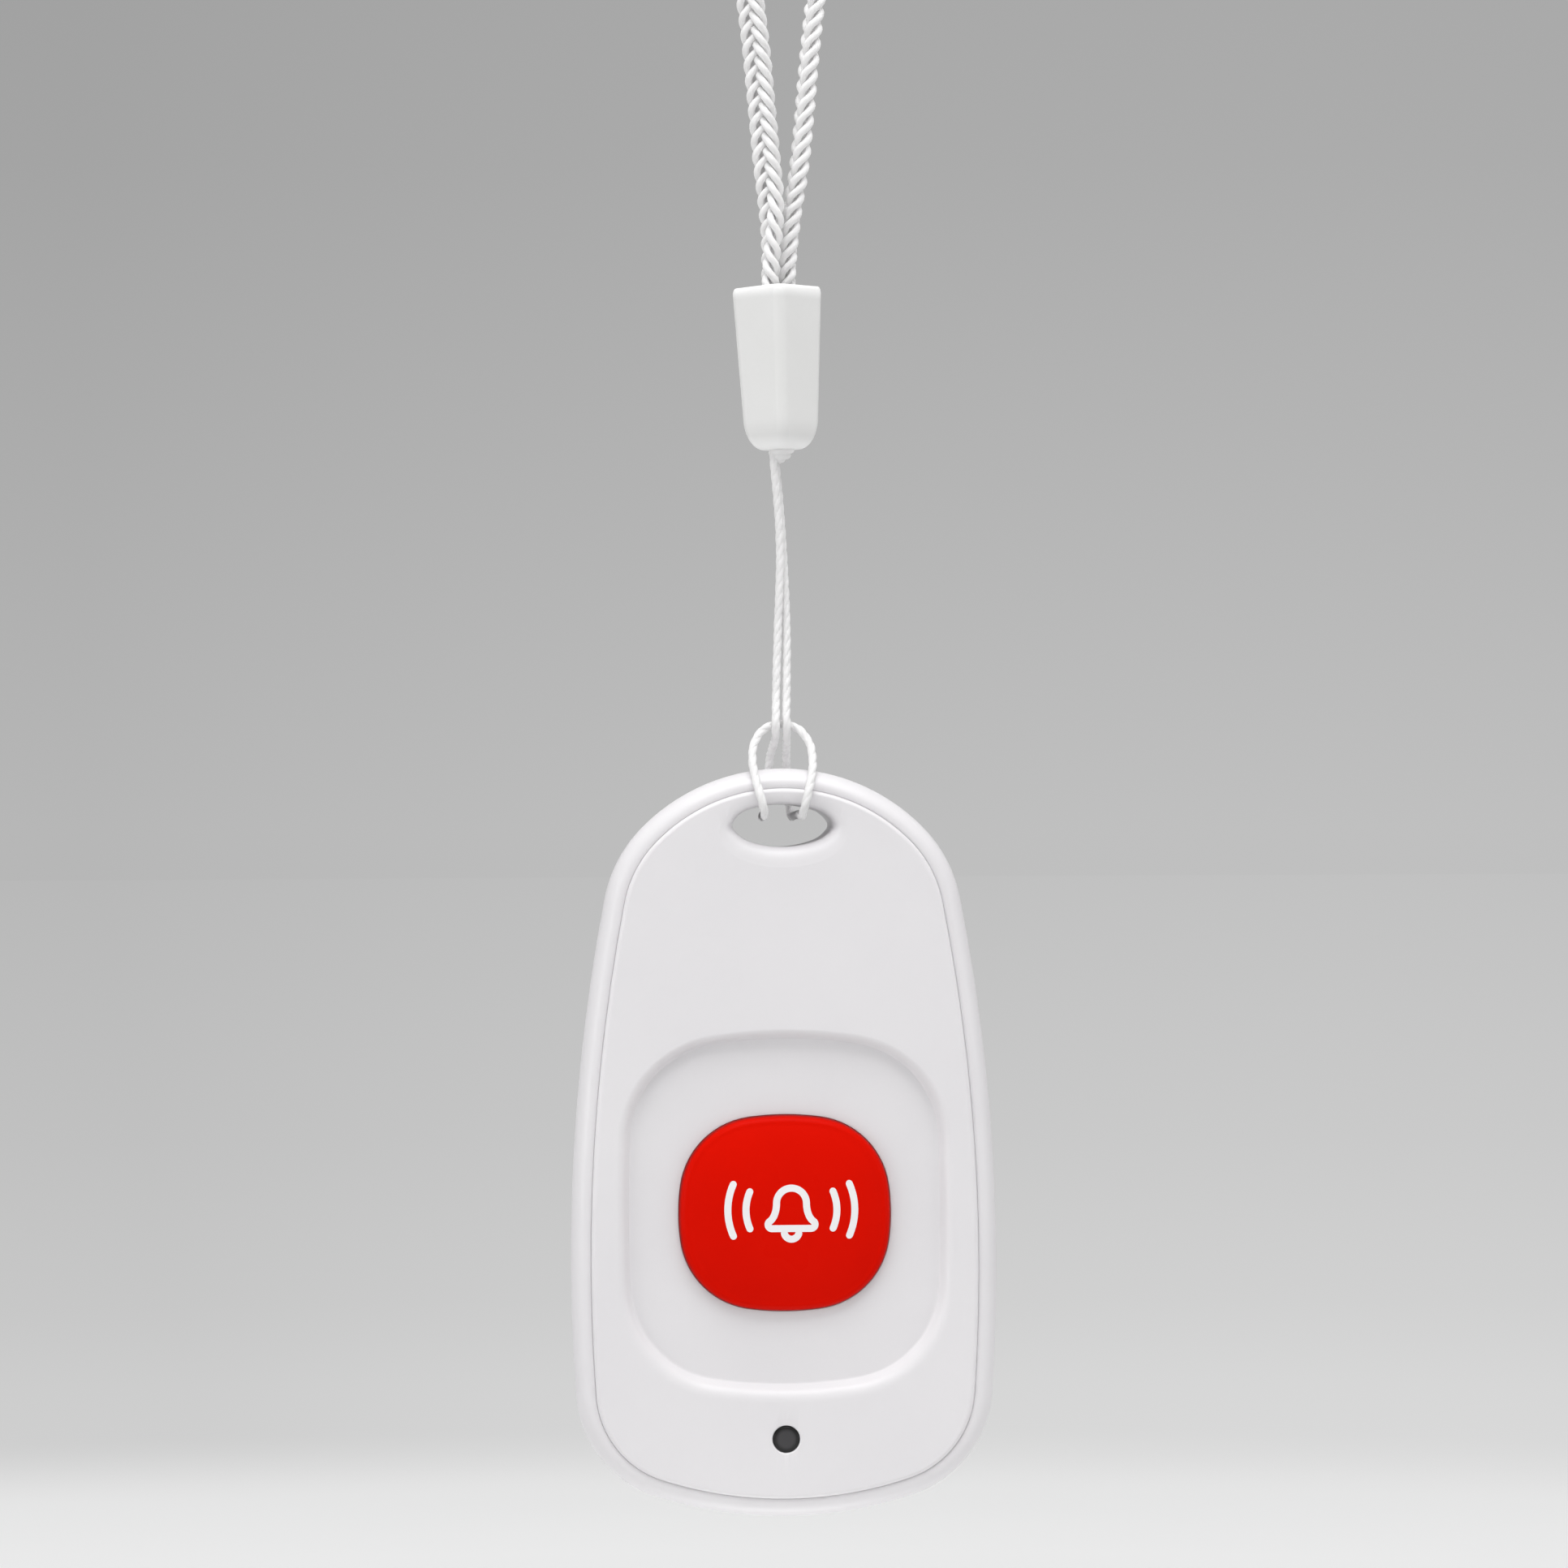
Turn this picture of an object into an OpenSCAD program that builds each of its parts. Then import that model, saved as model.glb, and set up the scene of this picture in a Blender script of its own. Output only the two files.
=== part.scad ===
// Wireless panic button: a pendant with a press button, hung by a thin string and a braided cord.
// The part hangs upright: +Z is up, the front looks along -Y, and the origin is the middle of the
// lanyard eye. The pieces are drawn lying flat, with the front up, and are then stood upright.

/* [Case] */
// Width of the case
case_w = 34.4; // [34:0.1:40]
// Height of the case
case_h = 60.3; // [57:0.1:68]
// Radius of the shoulders
shoulder_r = 11.2; // [10:0.1:12.5]
// Radius of the lower corners
hip_r = 9.3; // [8.5:0.1:10.5]
// Width of the rounded rim round the front cover
rim_w = 1.6; // [1.3:0.1:1.8]
// Side wall of the rear shell
shell_wall = 2.2; // [2:0.1:2.6]
// Rear wall of the rear shell
floor_t = 1.6; // [1.4:0.1:2]
// Width of the rounding round the back
back_round = 3.2; // [2.4:0.1:3.4]
// Height of the rounding round the back
back_rise = 3.5; // [2.8:0.1:4]
// Draft of the side wall
side_draft = 0.4; // [0.2:0.05:0.6]

/* [Front cover] */
// Thickness of the front cover
cover_t = 1.6; // [1.4:0.1:2]
// Width of the rounding round the front cover
cover_round = 1.1; // [0.8:0.1:1.3]
// Fall of the front cover to its edge
cover_drop = 0.9; // [0.6:0.1:1.1]
// Height of the edge that stands on the rear shell
cover_edge_t = 2.4; // [2.2:0.1:2.8]
// Thickness of the skirt inside the rear shell
skirt_t = 1; // [0.8:0.1:1.2]
// Depth of the skirt inside the rear shell
skirt_h = 1.8; // [1.5:0.1:2.1]
// Height of the snap bead on the skirt
bead_h = 0.35; // [0.25:0.05:0.45]

/* [Pocket and button] */
// Width of the face beside the pocket, to the middle of the pocket's wall
pocket_side = 4.15; // [3.9:0.05:4.7]
// Height of the pocket, at half the depth of its wall
pocket_h = 28.85; // [27.5:0.05:29.5]
// Corner radius of the pocket
pocket_r = 8.4; // [7.5:0.1:9.5]
// Depth of the pocket
pocket_depth = 1.1; // [0.9:0.05:1.3]
// Radius of the roll from the face into the pocket
pocket_roll = 1.35; // [1.2:0.05:1.45]
// Steepness of the pocket's wall, in degrees
pocket_steep = 68; // [62:1:72]
// Thickness of the pocket's floor
pocket_skin = 1.3; // [1.1:0.1:1.5]
// Fall from the lanyard eye to the middle of the button, as a share of the case's height
button_place = 0.517; // [0.51:0.001:0.53]
// Width of the button
button_w = 17.1; // [16.5:0.1:18.5]
// Height of the button
button_h = 15.8; // [15.2:0.1:17]
// Corner radius of the button
button_r = 6.4; // [6.1:0.1:6.8]
// Height of the button's crown above the pocket's floor
button_rise = 1.9; // [1.7:0.05:2.1]
// Height of the dome on the button
button_dome = 1.2; // [1:0.05:1.3]
// Rounding of the button's edge
button_round = 0.4; // [0.3:0.05:0.5]
// Thickness of the button's roof
button_roof = 1.2; // [1:0.1:1.4]
// Side wall of the button
button_wall = 1.3; // [1.1:0.1:1.6]
// Width of the flange that keeps the button in
flange_w = 0.8; // [0.6:0.1:1]
// Thickness of the flange
flange_t = 0.7; // [0.6:0.05:0.8]
// Diameter of the post that meets the switch
post_d = 3; // [2.4:0.1:3.2]

/* [Lanyard eye] */
// Width of the eye
eye_w = 8.2; // [7.5:0.1:9.5]
// Height of the eye
eye_h = 3.42; // [3.3:0.02:3.7]
// Distance from the top of the case down to the middle of the eye
eye_drop = 4.6; // [4.5:0.1:5.2]
// Rounding of the eye's mouths
eye_round = 0.85; // [0.6:0.05:1]
// Wall round the eye
eye_wall = 1.3; // [1:0.1:1.5]

/* [Battery] */
// Diameter of the coin cell
cell_d = 20; // [19.5:0.1:20.2]
// Thickness of the coin cell
cell_t = 3.2; // [2.5:0.1:4]
// Thickness of the battery door
door_t = 1.3; // [1.2:0.05:1.6]
// Wall of the door's cup
cup_t = 0.85; // [0.75:0.05:0.95]
// Depth of the door's cup
cup_h = 1.5; // [1.4:0.05:1.6]
// Reach of the bayonet lugs
lug_reach = 0.9; // [0.8:0.05:0.95]
// Thickness of the bayonet lugs
lug_t = 0.6; // [0.5:0.05:0.65]
// Thickness of the ledge that the lugs lock under
ledge_t = 0.8; // [0.7:0.05:0.85]
// Thickness of the seal's ring
seal_d = 0.6; // [0.5:0.05:0.65]
// Width of the coin slot
coin_slot_w = 1.8; // [1.4:0.1:2.2]
// Depth of the coin slot
coin_slot_h = 0.8; // [0.5:0.05:0.85]
// Height of the battery's middle above the button's
cell_lift = 0.7; // [0:0.1:1]
// Room for the spring contact between the cell and the board
contact_h = 0.8; // [0.7:0.05:1.1]
// Thickness of the contacts' sheet
contact_t = 0.22; // [0.18:0.01:0.26]

/* [Circuit board] */
// Thickness of the board
board_t = 1; // [0.8:0.1:1.2]
// Distance from the case's outline to the board's edge
board_inset = 4.2; // [3.9:0.1:4.4]
// Height from the lanyard eye down to the board's top edge
board_drop = 5.5; // [5:0.1:6]
// Height of the posts that hold the board off the cover
stand_h = 3; // [2.9:0.05:3.4]
// Diameter of the screw posts
boss_d = 3.8; // [3.4:0.1:4.2]
// Distance from the side of the case to the screw posts
boss_in = 10; // [9.7:0.1:10.4]
// Height from the lanyard eye down to the screw posts
boss_drop = 10.5; // [10:0.1:11]
// Diameter of the locating pegs
peg_d = 1.5; // [1.2:0.1:1.8]
// Half the distance between the locating pegs
peg_x = 9.2; // [8.8:0.1:9.6]
// Height of the locating pegs above the board's lower edge
peg_lift = 4.6; // [4.2:0.1:4.8]
// Diameter of the board screws
screw_d = 1.6; // [1.4:0.1:1.8]
// Length of the board screws under the head
screw_l = 3.4; // [3:0.1:3.6]
// Diameter of the screw heads
screw_head_d = 3; // [2.8:0.1:3.4]
// Height of the screw heads
screw_head_h = 0.9; // [0.7:0.05:1.1]
// Width of the antenna's copper trace
trace_w = 0.9; // [0.7:0.05:1.1]
// Thickness of the antenna's copper trace
trace_t = 0.1; // [0.08:0.01:0.14]

/* [Switch] */
// Width of the switch
switch_w = 6; // [5.6:0.1:6.4]
// Height of the switch's base
switch_h = 1.7; // [1.6:0.05:1.9]
// Thickness of the switch's steel plate
plate_t = 0.25; // [0.2:0.01:0.3]
// Diameter of the plunger
plunger_d = 3.5; // [3.2:0.1:3.7]
// Height of the plunger above the plate
plunger_rise = 0.6; // [0.5:0.05:0.7]
// Diameter of the snap dome
dome_d = 4.4; // [4.2:0.1:4.5]
// Thickness of the snap dome
dome_t = 0.12; // [0.08:0.01:0.15]

/* [Indicator] */
// Diameter of the indicator lens
lens_d = 2.1; // [1.8:0.1:2.4]
// Width of the lens's flange
lens_flange = 0.6; // [0.5:0.05:0.8]
// Place of the indicator between the pocket, at 0, and the rim, at 1
lens_place = 0.595; // [0.45:0.005:0.8]
// Height of the light-emitting diode
diode_h = 0.8; // [0.6:0.05:1]

/* [Strap] */
// Thickness of the thin string
string_d = 0.7; // [0.6:0.02:0.74]
// Thickness of the braided cord
cord_d = 1.9; // [1.6:0.1:1.9]
// Side of the ferrule at its mouth
ferrule_w = 5.6; // [5.4:0.1:6.4]
// Side of the ferrule at its foot
ferrule_foot_w = 4.6; // [4.4:0.1:5]
// Height of the ferrule
ferrule_h = 13.2; // [12.5:0.1:14]
// Wall of the ferrule
ferrule_wall = 0.6; // [0.5:0.05:0.7]
// Lean of the ferrule
ferrule_lean = 1.5; // [0:0.1:3]

/* [Fits] */
// Clearance where two pieces seat on each other
seat_gap = 0.03; // [0.02:0.01:0.05]
// Clearance round the button
slide_gap = 0.2; // [0.15:0.01:0.25]
// Width of the seam round the front cover
seam_gap = 0.12; // [0.08:0.01:0.16]
// Clearance round turning and locating pieces
turn_gap = 0.12; // [0.08:0.01:0.14]
// Clearance round the coin cell
cell_gap = 0.25; // [0.2:0.01:0.3]

/* [Hidden] */
$fn = 64;

// Levels through the case, from the back to the front
case_d = seat_gap + door_t + seat_gap + cell_t + contact_h + board_t + stand_h + cover_t;
back_z = -case_d / 2;
face_z = case_d / 2;
floor_z = back_z + floor_t;
door_z = back_z + seat_gap + door_t;
ledge_z = door_z + seat_gap;
ledge_top = ledge_z + ledge_t;
cell_back = door_z + seat_gap;
cell_front = cell_back + cell_t;
board_back = cell_front + contact_h;
board_front = board_back + board_t;
ceiling_z = face_z - cover_t;
seam_z = face_z - cover_drop;
stand_z = face_z - cover_edge_t;
skirt_z = stand_z - skirt_h;
bead_z = stand_z - skirt_h / 2;
pocket_z = face_z - pocket_depth;
pocket_under = pocket_z - pocket_skin;
wall_foot_r = 0.15;
wall_bends = (pocket_roll + wall_foot_r) * [sin(pocket_steep), 1 - cos(pocket_steep)];
pocket_slope = wall_bends[0] + (pocket_depth - wall_bends[1]) / tan(pocket_steep);
button_top = pocket_z + button_rise;
roof_z = button_top - button_dome - button_roof;
flange_z = pocket_under - seat_gap - flange_t;
plate_z = board_front + switch_h;
plunger_top = plate_z + plate_t + plunger_rise;

// Places on the front
under_step = 0.1;
skirt_in = shell_wall + seam_gap;
case_top = eye_drop;
case_foot = case_top - case_h;
pocket_w = case_w - 2 * pocket_side;
button_y = -button_place * case_h;
cell_y = button_y + cell_lift;
boss_x = case_w / 2 - boss_in;
peg_y = case_foot + board_inset + peg_lift;
lens_flange_d = lens_d + 2 * lens_flange;
lens_room = [button_y - pocket_h / 2 + under_step, case_foot + skirt_in + skirt_t + lens_flange_d];
lens_y = lens_room[0] + (lens_room[1] - lens_room[0]) * lens_place - lens_flange_d / 2;

// Radii of the battery door, outwards from the cell
cup_in = cell_d / 2 + cell_gap;
cup_out = cup_in + cup_t;
hole_r = cup_out + turn_gap;
lug_r = cup_out + lug_reach;
notch_r = lug_r + turn_gap;
seal_r = notch_r + seal_d;
door_r = seal_r + seal_d;
seat_r = door_r + turn_gap;
collar_r = seat_r + 1;
guide_in = lug_r + turn_gap * 3;
guide_out = collar_r - 0.4;

// Bayonet: three lugs, which reach their notches after the door's turn
lug_count = 3;
lug_angle = 24;
notch_angle = lug_angle + 6;
door_turn = 40;

// Outlines are tangent arcs, even about the middle: steps along crown, shoulder, flank, hip and base
arc_steps = [5, 6, 6, 8, 4];
case_bends = [45, 11, 4, 72];
pocket_bends = [81, 2, 2, 81];
button_bends = [82, 8, 8, 82];
eye_bends = [72, 30, 36, 70];

function dir(a) = [cos(a), sin(a)];

// The five arcs of an outline's right half, as [centre, radius, first angle, last angle], top at y = 0
function arc_chain(width, height, shoulder, hip, bends) =
    let(
        c = [for (b = bends) cos(b)],
        s = [for (b = bends) sin(b)],
        crown_most = (width / 2 - shoulder * (c[1] - c[0])) / c[0],
        crown_less = (1 - c[1]) / c[0],
        base_most = (width / 2 - hip * (c[2] - c[3])) / c[3],
        base_less = (1 - c[2]) / c[3],
        rest = height - crown_most * (1 - s[0]) - base_most * (1 - s[3])
            - shoulder * (s[0] - s[1]) - hip * (s[3] - s[2]),
        flank = rest / (s[1] + s[2] - crown_less * (1 - s[0]) - base_less * (1 - s[3])),
        radii = [crown_most - crown_less * flank, shoulder, flank, hip, base_most - base_less * flank],
        turns = [90, bends[0], bends[1], -bends[2], -bends[3], -90],
        centres = [
            for (i = 0, p = [0, -radii[0]]; i < 5;
                p = i < 4 ? p + (radii[i] - radii[i + 1]) * dir(turns[i + 1]) : p, i = i + 1) p
        ]
    )
    [for (i = [0:4]) [centres[i], radii[i], turns[i], turns[i + 1]]];

// Points round an outline that is drawn in by an inset, anticlockwise from the bottom
function outline(chain, top, inset = 0) =
    let(
        side = [
            for (i = [0:4], k = [0:arc_steps[i] - 1])
                let(arc = chain[i], a = arc[2] + (arc[3] - arc[2]) * k / arc_steps[i])
                    arc[0] + (arc[1] - inset) * dir(a) + [0, top]
        ],
        foot = chain[4][0] + (chain[4][1] - inset) * dir(-90) + [0, top],
        n = len(side)
    )
    concat([foot], [for (i = [n - 1:-1:0]) side[i]], [for (i = [1:n - 1]) [-side[i].x, side[i].y]]);

case_chain = arc_chain(case_w, case_h, shoulder_r, hip_r, case_bends);
pocket_chain = arc_chain(pocket_w, pocket_h, pocket_r, pocket_r, pocket_bends);
button_chain = arc_chain(button_w, button_h, button_r, button_r, button_bends);
eye_chain = arc_chain(eye_w, eye_h, eye_h * 0.64, eye_h * 0.76, eye_bends);

function at_level(points, z) = [for (p = points) [p.x, p.y, z]];
function case_ring(s) = at_level(outline(case_chain, case_top, s[0]), s[1]);
function pocket_ring(s) = at_level(outline(pocket_chain, button_y + pocket_h / 2, s[0]), s[1]);
function button_ring(s) = at_level(outline(button_chain, button_y + button_h / 2, s[0]), s[1]);
function eye_ring(s) = at_level(outline(eye_chain, eye_h / 2, s[0]), s[1]);

// Quarter ellipse of [inset, level] pairs that leaves its first end upright
function quarter(a, b, steps) = [
    for (k = [0:steps])
        let(t = 90 * k / steps) [b[0] + (a[0] - b[0]) * cos(t), a[1] + (b[1] - a[1]) * sin(t)]
];
function reversed(list) = [for (i = [len(list) - 1:-1:0]) list[i]];

// Pocket's wall as [inset, level] pairs: a roll off the face, a straight slope and a tight foot
function pocket_wall() = concat(
    [
        for (k = [0:4])
            let(t = pocket_steep * k / 4)
                [pocket_roll * sin(t) - pocket_slope / 2, face_z - pocket_roll * (1 - cos(t))]
    ],
    [
        for (k = [2:-1:0])
            let(t = pocket_steep * k / 2)
                [pocket_slope / 2 - wall_foot_r * sin(t), pocket_z + wall_foot_r * (1 - cos(t))]
    ]
);

// Solid skin through rings of points; a loop joins its last ring to its first one
module loft(rings, loop = false) {
    n = len(rings[0]);
    m = len(rings);
    sides = [
        for (j = [0:loop ? m - 1 : m - 2], i = [0:n - 1])
            let(k = (i + 1) % n, low = j * n, high = ((j + 1) % m) * n)
                each [[low + i, high + i, high + k], [low + i, high + k, low + k]]
    ];
    ends = loop ? [] : [[for (i = [0:n - 1]) i], [for (i = [n - 1:-1:0]) (m - 1) * n + i]];
    polyhedron([for (r = rings) each r], concat(sides, ends), convexity = 8);
}

// Stands a piece upright that is drawn lying flat
module upright() rotate([90, 0, 0]) children();

// Upright cylinder between two levels
module drum(d, low, high) translate([0, 0, low]) cylinder(d = d, h = high - low);

// Block in the middle of x and y, between two levels
module block(w, h, low, high) translate([-w / 2, -h / 2, low]) cube([w, h, high - low]);

// Sector of a ring, turned about the middle by an angle
module sector(r_in, r_out, low, high, angle) rotate(-angle / 2) rotate_extrude(angle = angle)
    polygon([[r_in, low], [r_out, low], [r_out, high], [r_in, high]]);

// Cutter of the lanyard eye, flared at both mouths
eye_past = 0.5;
module eye_cut() loft([
    for (s = concat(
        [[-eye_round, back_z - eye_past]],
        reversed(quarter([0, back_z + eye_round], [-eye_round, back_z], 4)),
        quarter([0, face_z - eye_round], [-eye_round, face_z], 4),
        [[-eye_round, face_z + eye_past]]
    )) eye_ring(s)
]);

// Tube round the lanyard eye, between two levels
module eye_tube(low, high) translate([0, 0, low]) linear_extrude(high - low)
    polygon(outline(eye_chain, eye_h / 2, -eye_wall));

// Moulded tub with a rounded rim, the eye, the door's seat and guides for the cell
tub_round = 1.8;
groove_h = bead_h - seam_gap;
module rear_tub() loft([
    for (s = concat(
        reversed(quarter([side_draft, back_z + back_rise], [back_round, back_z], 6)),
        quarter([0, seam_z - rim_w], [rim_w, seam_z], 6),
        [[rim_w, stand_z], [shell_wall, stand_z], [shell_wall, bead_z + 2 * groove_h]],
        [[shell_wall - groove_h, bead_z], [shell_wall, bead_z - 2 * groove_h]],
        quarter([shell_wall, floor_z + tub_round], [shell_wall + tub_round, floor_z], 4)
    )) case_ring(s)
]);

guide_count = 4;
guide_angle = 28;
guide_low = ledge_top + lug_t + cup_h / 4;
module rear_shell() color("whitesmoke") upright() difference() {
    union() {
        rear_tub();
        eye_tube(floor_z - floor_t / 2, skirt_z - seat_gap);
        translate([0, cell_y, 0]) {
            intersection() {
                drum(2 * collar_r, floor_z - floor_t / 4, ledge_top);
                translate([0, -cell_y, 0]) linear_extrude(case_d, center = true)
                    polygon(outline(case_chain, case_top, shell_wall / 2 + side_draft));
            }
            for (i = [0:guide_count - 1]) rotate(360 * (i + 0.5) / guide_count) {
                sector(guide_in, guide_out, ledge_top - ledge_t / 2, board_back - seat_gap, guide_angle);
                sector(cup_in + cell_gap, guide_out, guide_low, board_back - seat_gap, guide_angle);
            }
        }
    }
    eye_cut();
    translate([0, cell_y, 0]) {
        drum(2 * seat_r, back_z - 1, ledge_z);
        drum(2 * hole_r, back_z, ledge_top + 1);
        for (i = [0:lug_count - 1]) rotate(360 * i / lug_count - door_turn)
            sector(hole_r - 1, notch_r, back_z, ledge_top + seat_gap, notch_angle);
    }
}

// Front plate with the button's pocket, and a skirt with a snap bead inside the rear shell
cover_in = rim_w + seam_gap;
hole_round = 0.2;
module cover_plate() loft(concat(
    [case_ring([cover_in, stand_z + seat_gap])],
    [for (s = quarter([cover_in, seam_z], [cover_in + cover_round, face_z], 4)) case_ring(s)],
    [for (s = pocket_wall()) pocket_ring(s)],
    [button_ring([-slide_gap - hole_round, pocket_z])],
    [button_ring([-slide_gap, pocket_z - hole_round])],
    [button_ring([-slide_gap, pocket_under])],
    [pocket_ring([pocket_slope / 2, pocket_under]), pocket_ring([under_step, ceiling_z])],
    [
        for (s = [
            [skirt_in + skirt_t, ceiling_z], [skirt_in + skirt_t, skirt_z], [skirt_in, skirt_z],
            [skirt_in, bead_z - bead_h], [skirt_in - bead_h, bead_z], [skirt_in, bead_z + bead_h],
            [skirt_in, stand_z + seat_gap]
        ]) case_ring(s)
    ]
), loop = true);

boss_root = cover_t / 4;
pilot_gap = 0.05;
module front_cover() color("white") upright() difference() {
    union() {
        cover_plate();
        intersection() {
            eye_tube(skirt_z + seat_gap, face_z - cover_t / 2);
            linear_extrude(face_z) polygon(outline(case_chain, case_top, skirt_in));
        }
        for (x = [-boss_x, boss_x]) translate([x, -boss_drop, 0])
            drum(boss_d, board_front + seat_gap, ceiling_z + boss_root);
        for (x = [-peg_x, peg_x]) translate([x, peg_y, 0]) {
            drum(peg_d * 2, board_front + seat_gap, ceiling_z + boss_root);
            drum(peg_d, board_back - board_t / 4, ceiling_z);
        }
    }
    eye_cut();
    translate([0, lens_y, 0]) drum(lens_d + 2 * pilot_gap, ceiling_z - 1, face_z + 1);
    for (x = [-boss_x, boss_x]) translate([x, -boss_drop, 0])
        drum(screw_d + 2 * pilot_gap, board_front - 1, board_back + screw_l + 4 * pilot_gap);
}

// Crowned button, hollow underneath, with the post that meets the switch
crown_insets = [0.12, 0.24, 0.38, 0.54, 0.75];
crown_reach = button_h / 2;
crown_last = button_r - 0.3;
crown_power = 3;
function crown_level(inset) = button_top - button_dome * pow(1 - inset / crown_reach, crown_power);
module button_cap() color("red") upright() {
    loft(concat(
        [button_ring([button_wall, roof_z]), button_ring([button_wall, flange_z])],
        [button_ring([-flange_w, flange_z]), button_ring([-flange_w, flange_z + flange_t])],
        [button_ring([0, flange_z + flange_t])],
        [
            for (s = quarter(
                [0, crown_level(0) - button_round], [button_round, crown_level(button_round)], 4
            )) button_ring(s)
        ],
        [for (k = crown_insets) button_ring([crown_last * k, crown_level(crown_last * k)])],
        [button_ring([crown_last, crown_level(crown_last)])]
    ));
    translate([0, button_y, 0]) drum(post_d, plunger_top + seat_gap, roof_z + button_roof / 2);
}

// Dark lens that carries the diode's light to the front
lens_recess = 0.06;
lens_flange_t = 0.9;
module indicator_lens() color("dimgray") upright() translate([0, lens_y, 0]) {
    drum(lens_d, board_front + diode_h + seat_gap * 4, face_z - lens_recess);
    drum(lens_flange_d, ceiling_z - lens_flange_t, ceiling_z - seat_gap);
}

diode_w = 2;
module indicator_diode() color("ivory") upright() translate([0, lens_y, 0]) {
    block(diode_w, diode_w * 0.6, board_front, board_front + diode_h / 2);
    block(diode_w * 0.6, diode_w * 0.6, board_front, board_front + diode_h);
}

function board_line(inset) = outline(case_chain, case_top, board_inset + inset);
module board_shape(inset) intersection() {
    polygon(board_line(inset));
    translate([-case_w / 2, -case_h - board_drop - inset]) square([case_w, case_h]);
}

module circuit_board() color("darkgreen") upright() difference() {
    translate([0, 0, board_back]) linear_extrude(board_t) board_shape(0);
    for (x = [-boss_x, boss_x]) translate([x, -boss_drop, 0])
        drum(screw_d + 4 * pilot_gap, board_back - 1, board_front + 1);
    for (x = [-peg_x, peg_x]) translate([x, peg_y, 0])
        drum(peg_d + 4 * pilot_gap, board_back - 1, board_front + 1);
}

// Copper loop round the top of the board, with its two feet beside the button
trace_edge = 0.4;
trace_end = 20;
module antenna_trace() color("goldenrod") upright() translate([0, 0, board_front]) linear_extrude(trace_t)
    intersection() {
        difference() {
            board_shape(trace_edge);
            board_shape(trace_edge + trace_w);
        }
        translate([-case_w / 2, -trace_end]) square([case_w, trace_end]);
    }

// Small parts above the button: a chip with eight legs, a resonator can and blocks with metal ends
chip_at = [-2.6, -17];
chip_size = [4.9, 3.9, 1.4];
chip_lift = 0.1;
leg_pitch = 1.27;
leg_w = 0.42;
leg_l = 1.2;
leg_t = 0.2;
module encoder_chip() color("darkslategray") upright() translate(chip_at) {
    block(chip_size.x, chip_size.y, board_front + chip_lift, board_front + chip_lift + chip_size.z);
    for (i = [0:3], side = [-1, 1])
        translate([leg_pitch * (i - 1.5), side * (chip_size.y + leg_t) / 2]) {
            translate([0, side * leg_l / 2]) block(leg_w, leg_l, board_front, board_front + leg_t);
            block(leg_w, leg_t * 1.5, board_front, board_front + chip_size.z / 2);
        }
}

can_at = [4, -17];
can_w = 3.8;
can_h = 1.2;
can_rim = 0.2;
module saw_resonator() color("silver") upright() translate(can_at) {
    block(can_w, can_w, board_front, board_front + can_h / 2);
    block(can_w - 2 * can_rim, can_w - 2 * can_rim, board_front, board_front + can_h);
}

// Chip parts of one size, lying across the board
small_size = [1.6, 0.8, 0.45];
small_end = 0.36;
small_plating = 0.05;
module chip_part(at) translate(at) {
    block(small_size.x, small_size.y, board_front, board_front + small_size.z);
    for (side = [-1, 1]) translate([side * (small_size.x - small_end) / 2, 0, board_front])
        block(small_end, small_size.y + small_plating, 0, small_size.z + small_plating);
}

capacitor_at = [0, -10];
capacitor_step = [1.4, 2];
module chip_capacitors() color("tan") upright() translate(capacitor_at)
    for (at = [[-capacitor_step.x, 0], [capacitor_step.x, 0], [0, -capacitor_step.y]]) chip_part(at);

// Two resistors beside the indicator and one beside the chip
resistor_at = [-5.2, -13.2];
resistor_step = [3.4, 1.9];
module chip_resistors() color("black") upright() {
    for (side = [-1, 1]) translate([0, lens_y]) chip_part([side * resistor_step.x, resistor_step.y]);
    chip_part(resistor_at);
}

// Press switch: base with a well, steel plate on four rivets, snap dome and plunger
well_r = dome_d / 2 + turn_gap;
well_z = board_front + 0.5;
rivet_at = switch_w / 2 - 0.75;
rivet_d = 0.7;
rivet_head = 0.15;
module rivet_places() for (x = [-rivet_at, rivet_at], y = [-rivet_at, rivet_at]) translate([x, y]) children();

module switch_base() color("black") upright() translate([0, button_y, 0]) {
    difference() {
        block(switch_w, switch_w, board_front, plate_z);
        drum(2 * well_r, well_z, plate_z + 1);
    }
    rivet_places() drum(rivet_d, plate_z - rivet_head, plate_z + plate_t + rivet_head);
}

module switch_plate() color("lightsteelblue") upright() translate([0, button_y, 0]) difference() {
    union() {
        block(switch_w, switch_w, plate_z, plate_z + plate_t);
        for (side = [-1, 1]) translate([0, side * (switch_w + plate_t) / 2])
            block(switch_w / 2, plate_t, plate_z - switch_h / 2, plate_z + plate_t);
    }
    drum(plunger_d + 2 * turn_gap, plate_z - 1, plate_z + plate_t + 1);
    rivet_places() drum(rivet_d + 2 * pilot_gap, plate_z - 1, plate_z + plate_t + 1);
}

terminal_l = 1.4;
terminal_w = 0.7;
terminal_t = 0.2;
module switch_terminals() color("silver") upright() translate([0, button_y, 0])
    for (x = [-1, 1], y = [-1, 1]) translate([x * switch_w / 2, y * rivet_at, board_front]) {
        translate([x * terminal_l / 2, 0]) block(terminal_l, terminal_w, 0, terminal_t);
        translate([x * terminal_t / 2, 0]) block(terminal_t, terminal_w, 0, switch_h / 2);
    }

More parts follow.
